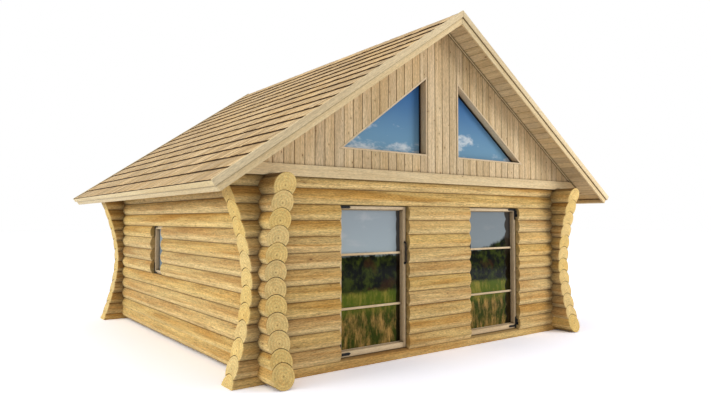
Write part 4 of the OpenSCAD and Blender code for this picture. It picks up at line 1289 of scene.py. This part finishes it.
def make_door_frames():
    """Fixed frames behind the leaves, and the pintles on the sides of the openings."""
    p = Piece("door_frames_planed")
    q = Piece("door_pintles_forged")
    x0, x1, z0, z1 = DOOR_OFF + SEAT, DOOR_FAR - SEAT, SILL_Z + SEAT, OPEN_TOP - SEAT
    xa, xb = DOOR_OFF + FRAME_W, DOOR_FAR - FRAME_W
    for sx in (1, -1):
        for a, b in ((x0, xa), (xb, x1)):
            p.bar(sx, (a, FRAME_Y0, z0), (b, FRAME_Y1, z1), UP, ACROSS, PLANED)
        for a, b in ((z1 - FRAME_W, z1), (z0, z0 + FRAME_FOOT)):
            p.bar(sx, (xa + SEAT, FRAME_Y0, a), (xb - SEAT, FRAME_Y1, b), ACROSS, UP, PLANED)
        for eye_z in EYES:
            za, zb = eye_z + PIN_ARM_Z[0], eye_z + PIN_ARM_Z[1]
            for a, b, half, foot in ((x1 - PIN_PLATE_T, x1, PIN_PLATE_HALF, za - PIN_PLATE_DOWN),
                                     (AXLE_X, x1 - PIN_PLATE_T - PIN_GAP, PIN_ARM_HALF, za)):
                q.bar(sx, (a, AXLE_Y - half, foot), (b, AXLE_Y + half, zb), UP, ACROSS, HARD_EDGE, 1)
            q.solid(on_side(sx, lathe((AXLE_X, AXLE_Y, za), UP, *PIN)), UP, ACROSS)
    p.build(JOINERY, "joinery", ["door_frames"])
    q.build(IRON, "black_iron", ["door_pintles"])


make_doors()
make_door_frames()


# Side windows

SIDE_STRAP_W, SIDE_STRAP_L, SIDE_STRAP_LEG, SIDE_TIP = 0.022, 0.150, 0.180, 0.014
SIDE_BOLTS = ((0.120, SIDE_STRAP_W / 2), (0.060, SIDE_STRAP_W / 2), (SIDE_STRAP_W / 2, 0.145),
              (SIDE_STRAP_W / 2, 0.085))
SIDE_BOLT = 12, [(0.0, 0.0065), (0.001, 0.0065), (0.0028, 0.005), (0.0036, 0.0028), (0.0038, 0.0006)]


def window_ring(piece, sx, d, w, x0, x1):
    """Two uprights and two rails of the width w, drawn in by d from the opening."""
    ya, yb, za, zb = WIN_Y0 + d, WIN_Y1 - d, WIN_Z0 + d, WIN_Z1 - d
    for a, b in ((ya, ya + w), (yb - w, yb)):
        piece.bar(sx, (x0, a, za), (x1, b, zb), UP, DEEP, FINE)
    for a, b in ((za, za + w), (zb - w, zb)):
        piece.bar(sx, (x0 + SEAT, ya + w, a), (x1 - SEAT, yb - w, b), DEEP, UP, FINE)


def make_side_windows():
    x1 = HALF_W + R - JOINERY_IN
    xs = x1 + SEAT
    d = 3 * SEAT + WIN_FRAME + WIN_SASH
    low = x1 - WIN_PANE_IN, WIN_Y0 + d, WIN_Z0 + d
    high = low[0] + PANE_T, WIN_Y1 - d, WIN_Z1 - d
    outline = strap_outline(SIDE_STRAP_W, SIDE_STRAP_L, SIDE_STRAP_LEG, SIDE_TIP, SIDE_TIP)
    p = Piece("side_window_frames_planed")
    q = Piece("side_window_sashes_planed")
    g = Piece("side_window_panes")
    h = Piece("side_window_straps")
    for sx in (1, -1):
        window_ring(p, sx, SEAT, WIN_FRAME, x1 - JOINERY_T, x1)
        window_ring(q, sx, 2 * SEAT + WIN_FRAME, WIN_SASH, x1 - WIN_SASH_IN[1], x1 - WIN_SASH_IN[0])
        g.bar(sx, low, high, UP, DEEP, HARD_EDGE, 1)
        for corner, sign in ((WIN_Z0 + SEAT, 1), (WIN_Z1 - SEAT, -1)):
            def place(x, u, up):
                return x, WIN_Y1 - SEAT - u, corner + sign * up

            plate = prism([place(xs, *spot) for spot in outline], (STRAP_T, 0, 0), HARD_EDGE, 1)
            h.solid(on_side(sx, plate), UP, DEEP)
            for spot in SIDE_BOLTS:
                dome = lathe(place(xs + STRAP_T, *spot), ACROSS, *SIDE_BOLT)
                h.solid(on_side(sx, dome), UP, DEEP)
    p.build(JOINERY, "joinery", ["side_window_frames"])
    q.build(JOINERY, "joinery", ["side_window_sashes"])
    g.build(GLASS_SIDE, "window_glass", ["side_window_glass"])
    h.build(IRON, "black_iron", ["side_window_hinges"])


make_side_windows()

# The gables' framing keeps its CAD solids.
STUDS = cad_wood("framing_studs")
for name in ("front_gable_frame", "back_gable_frame"):
    NODES[name].data.materials.clear()
    NODES[name].data.materials.append(STUDS)


# Stage, light and camera

FLOOR_SIZE = 90.0
FLOOR_DROP = 0.0008
FLOOR_REAL = (0.82, 0.82, 0.82, 1.0)
FLOOR_SEEN = (1.50, 1.55, 1.80, 1.0)
AMBIENT = 0.42
AMBIENT_COLOR = (0.98, 0.99, 1.0, 1.0)
WHITE = (1.0, 1.0, 1.0, 1.0)
SEEN_BY = ("Is Camera Ray", "Is Glossy Ray", "Is Transmission Ray")
SUNS = (("key", (-0.96, 0.19, 0.13), 1.8, 25), ("top", (-0.35, 0.25, 0.90), 0.75, 60))
KEY_COLOR = (0.98, 1.0, 0.90)
FILL, FILL_SIZE = 1.5, 6.0
FILL_COLOR = (1.0, 0.975, 0.93)
FILL_AT = (10.2, YF - 9.8, 4.6)
FILL_TO = (0.0, YF, 1.4)
PHOTO_WIDTH = 711
PHOTO_FOCUS = 580.23
SENSOR = 36.0
CAMERA_AT = (-6.1024, YF - 6.2238, 1.9088)
CAMERA_UP = 1.947
CAMERA_TURN = -36.678


def two_faced(owner, output, kind, real, seen):
    """Gives owner the shader inputs real for the light that it sends out, and seen where it shows."""
    t = Tree(owner)
    t.nt.nodes.clear()
    rays = t.node("LightPath", SEEN_BY, {})
    fac = rays[0]
    for ray in rays[1:]:
        fac = t.math("MAXIMUM", fac, ray)
    faces = {0: fac, 1: t.node(kind, 0, real), 2: t.node(kind, 0, seen)}
    t.put(t.nt.nodes.new("ShaderNodeOutput" + output).inputs["Surface"], t.node("MixShader", 0, faces))
    return t.owner


def make_floor_plane():
    s = FLOOR_SIZE
    me = bpy.data.meshes.new("floor")
    me.from_pydata([(-s, -s, 0), (s, -s, 0), (s, s, 0), (-s, s, 0)], [], [(0, 1, 2, 3)])
    ob = add_object("floor", me)
    ob.location = (0, 0, -FLOOR_DROP)
    colors = {"Color": FLOOR_REAL}, {"Color": FLOOR_SEEN}
    me.materials.append(two_faced("stage_floor", "Material", "BsdfDiffuse", *colors))


def make_world():
    world = bpy.data.worlds.new("studio")
    bpy.context.scene.world = world
    two_faced(world, "World", "Background",
              {"Color": AMBIENT_COLOR, "Strength": AMBIENT}, {"Color": WHITE, "Strength": 1.0})


def add_lamp(name, kind, away, energy, color):
    """Lamp that shines from the direction away."""
    lamp = bpy.data.lights.new(name, kind)
    lamp.energy = energy
    lamp.color = color
    ob = add_object(name, lamp)
    ob.rotation_euler = Vector(away).to_track_quat("Z", "Y").to_euler()
    return ob


def make_lamps():
    """Two broad suns, and a square soft box that lights its target like a sun of the strength FILL."""
    for name, away, energy, angle in SUNS:
        add_lamp(name, "SUN", away, energy, KEY_COLOR).data.angle = math.radians(angle)
    away = Vector(FILL_AT) - Vector(FILL_TO)
    ob = add_lamp("fill", "AREA", away, FILL * math.pi * away.length_squared, FILL_COLOR)
    ob.data.size = FILL_SIZE
    ob.location = FILL_AT
    ob.visible_camera = False
    ob.visible_glossy = False


def make_camera():
    cam = bpy.data.cameras.new("camera")
    cam.sensor_fit = "HORIZONTAL"
    cam.sensor_width = SENSOR
    cam.lens = PHOTO_FOCUS / PHOTO_WIDTH * SENSOR
    cam.clip_end = 4 * FLOOR_SIZE
    ob = add_object("camera", cam)
    ob.location = CAMERA_AT
    ob.rotation_euler = (math.radians(90 + CAMERA_UP), 0, math.radians(CAMERA_TURN))
    bpy.context.scene.camera = ob


make_floor_plane()
make_world()
make_lamps()
make_camera()
bpy.context.scene.view_settings.view_transform = "Standard"

bpy.context.view_layer.update()
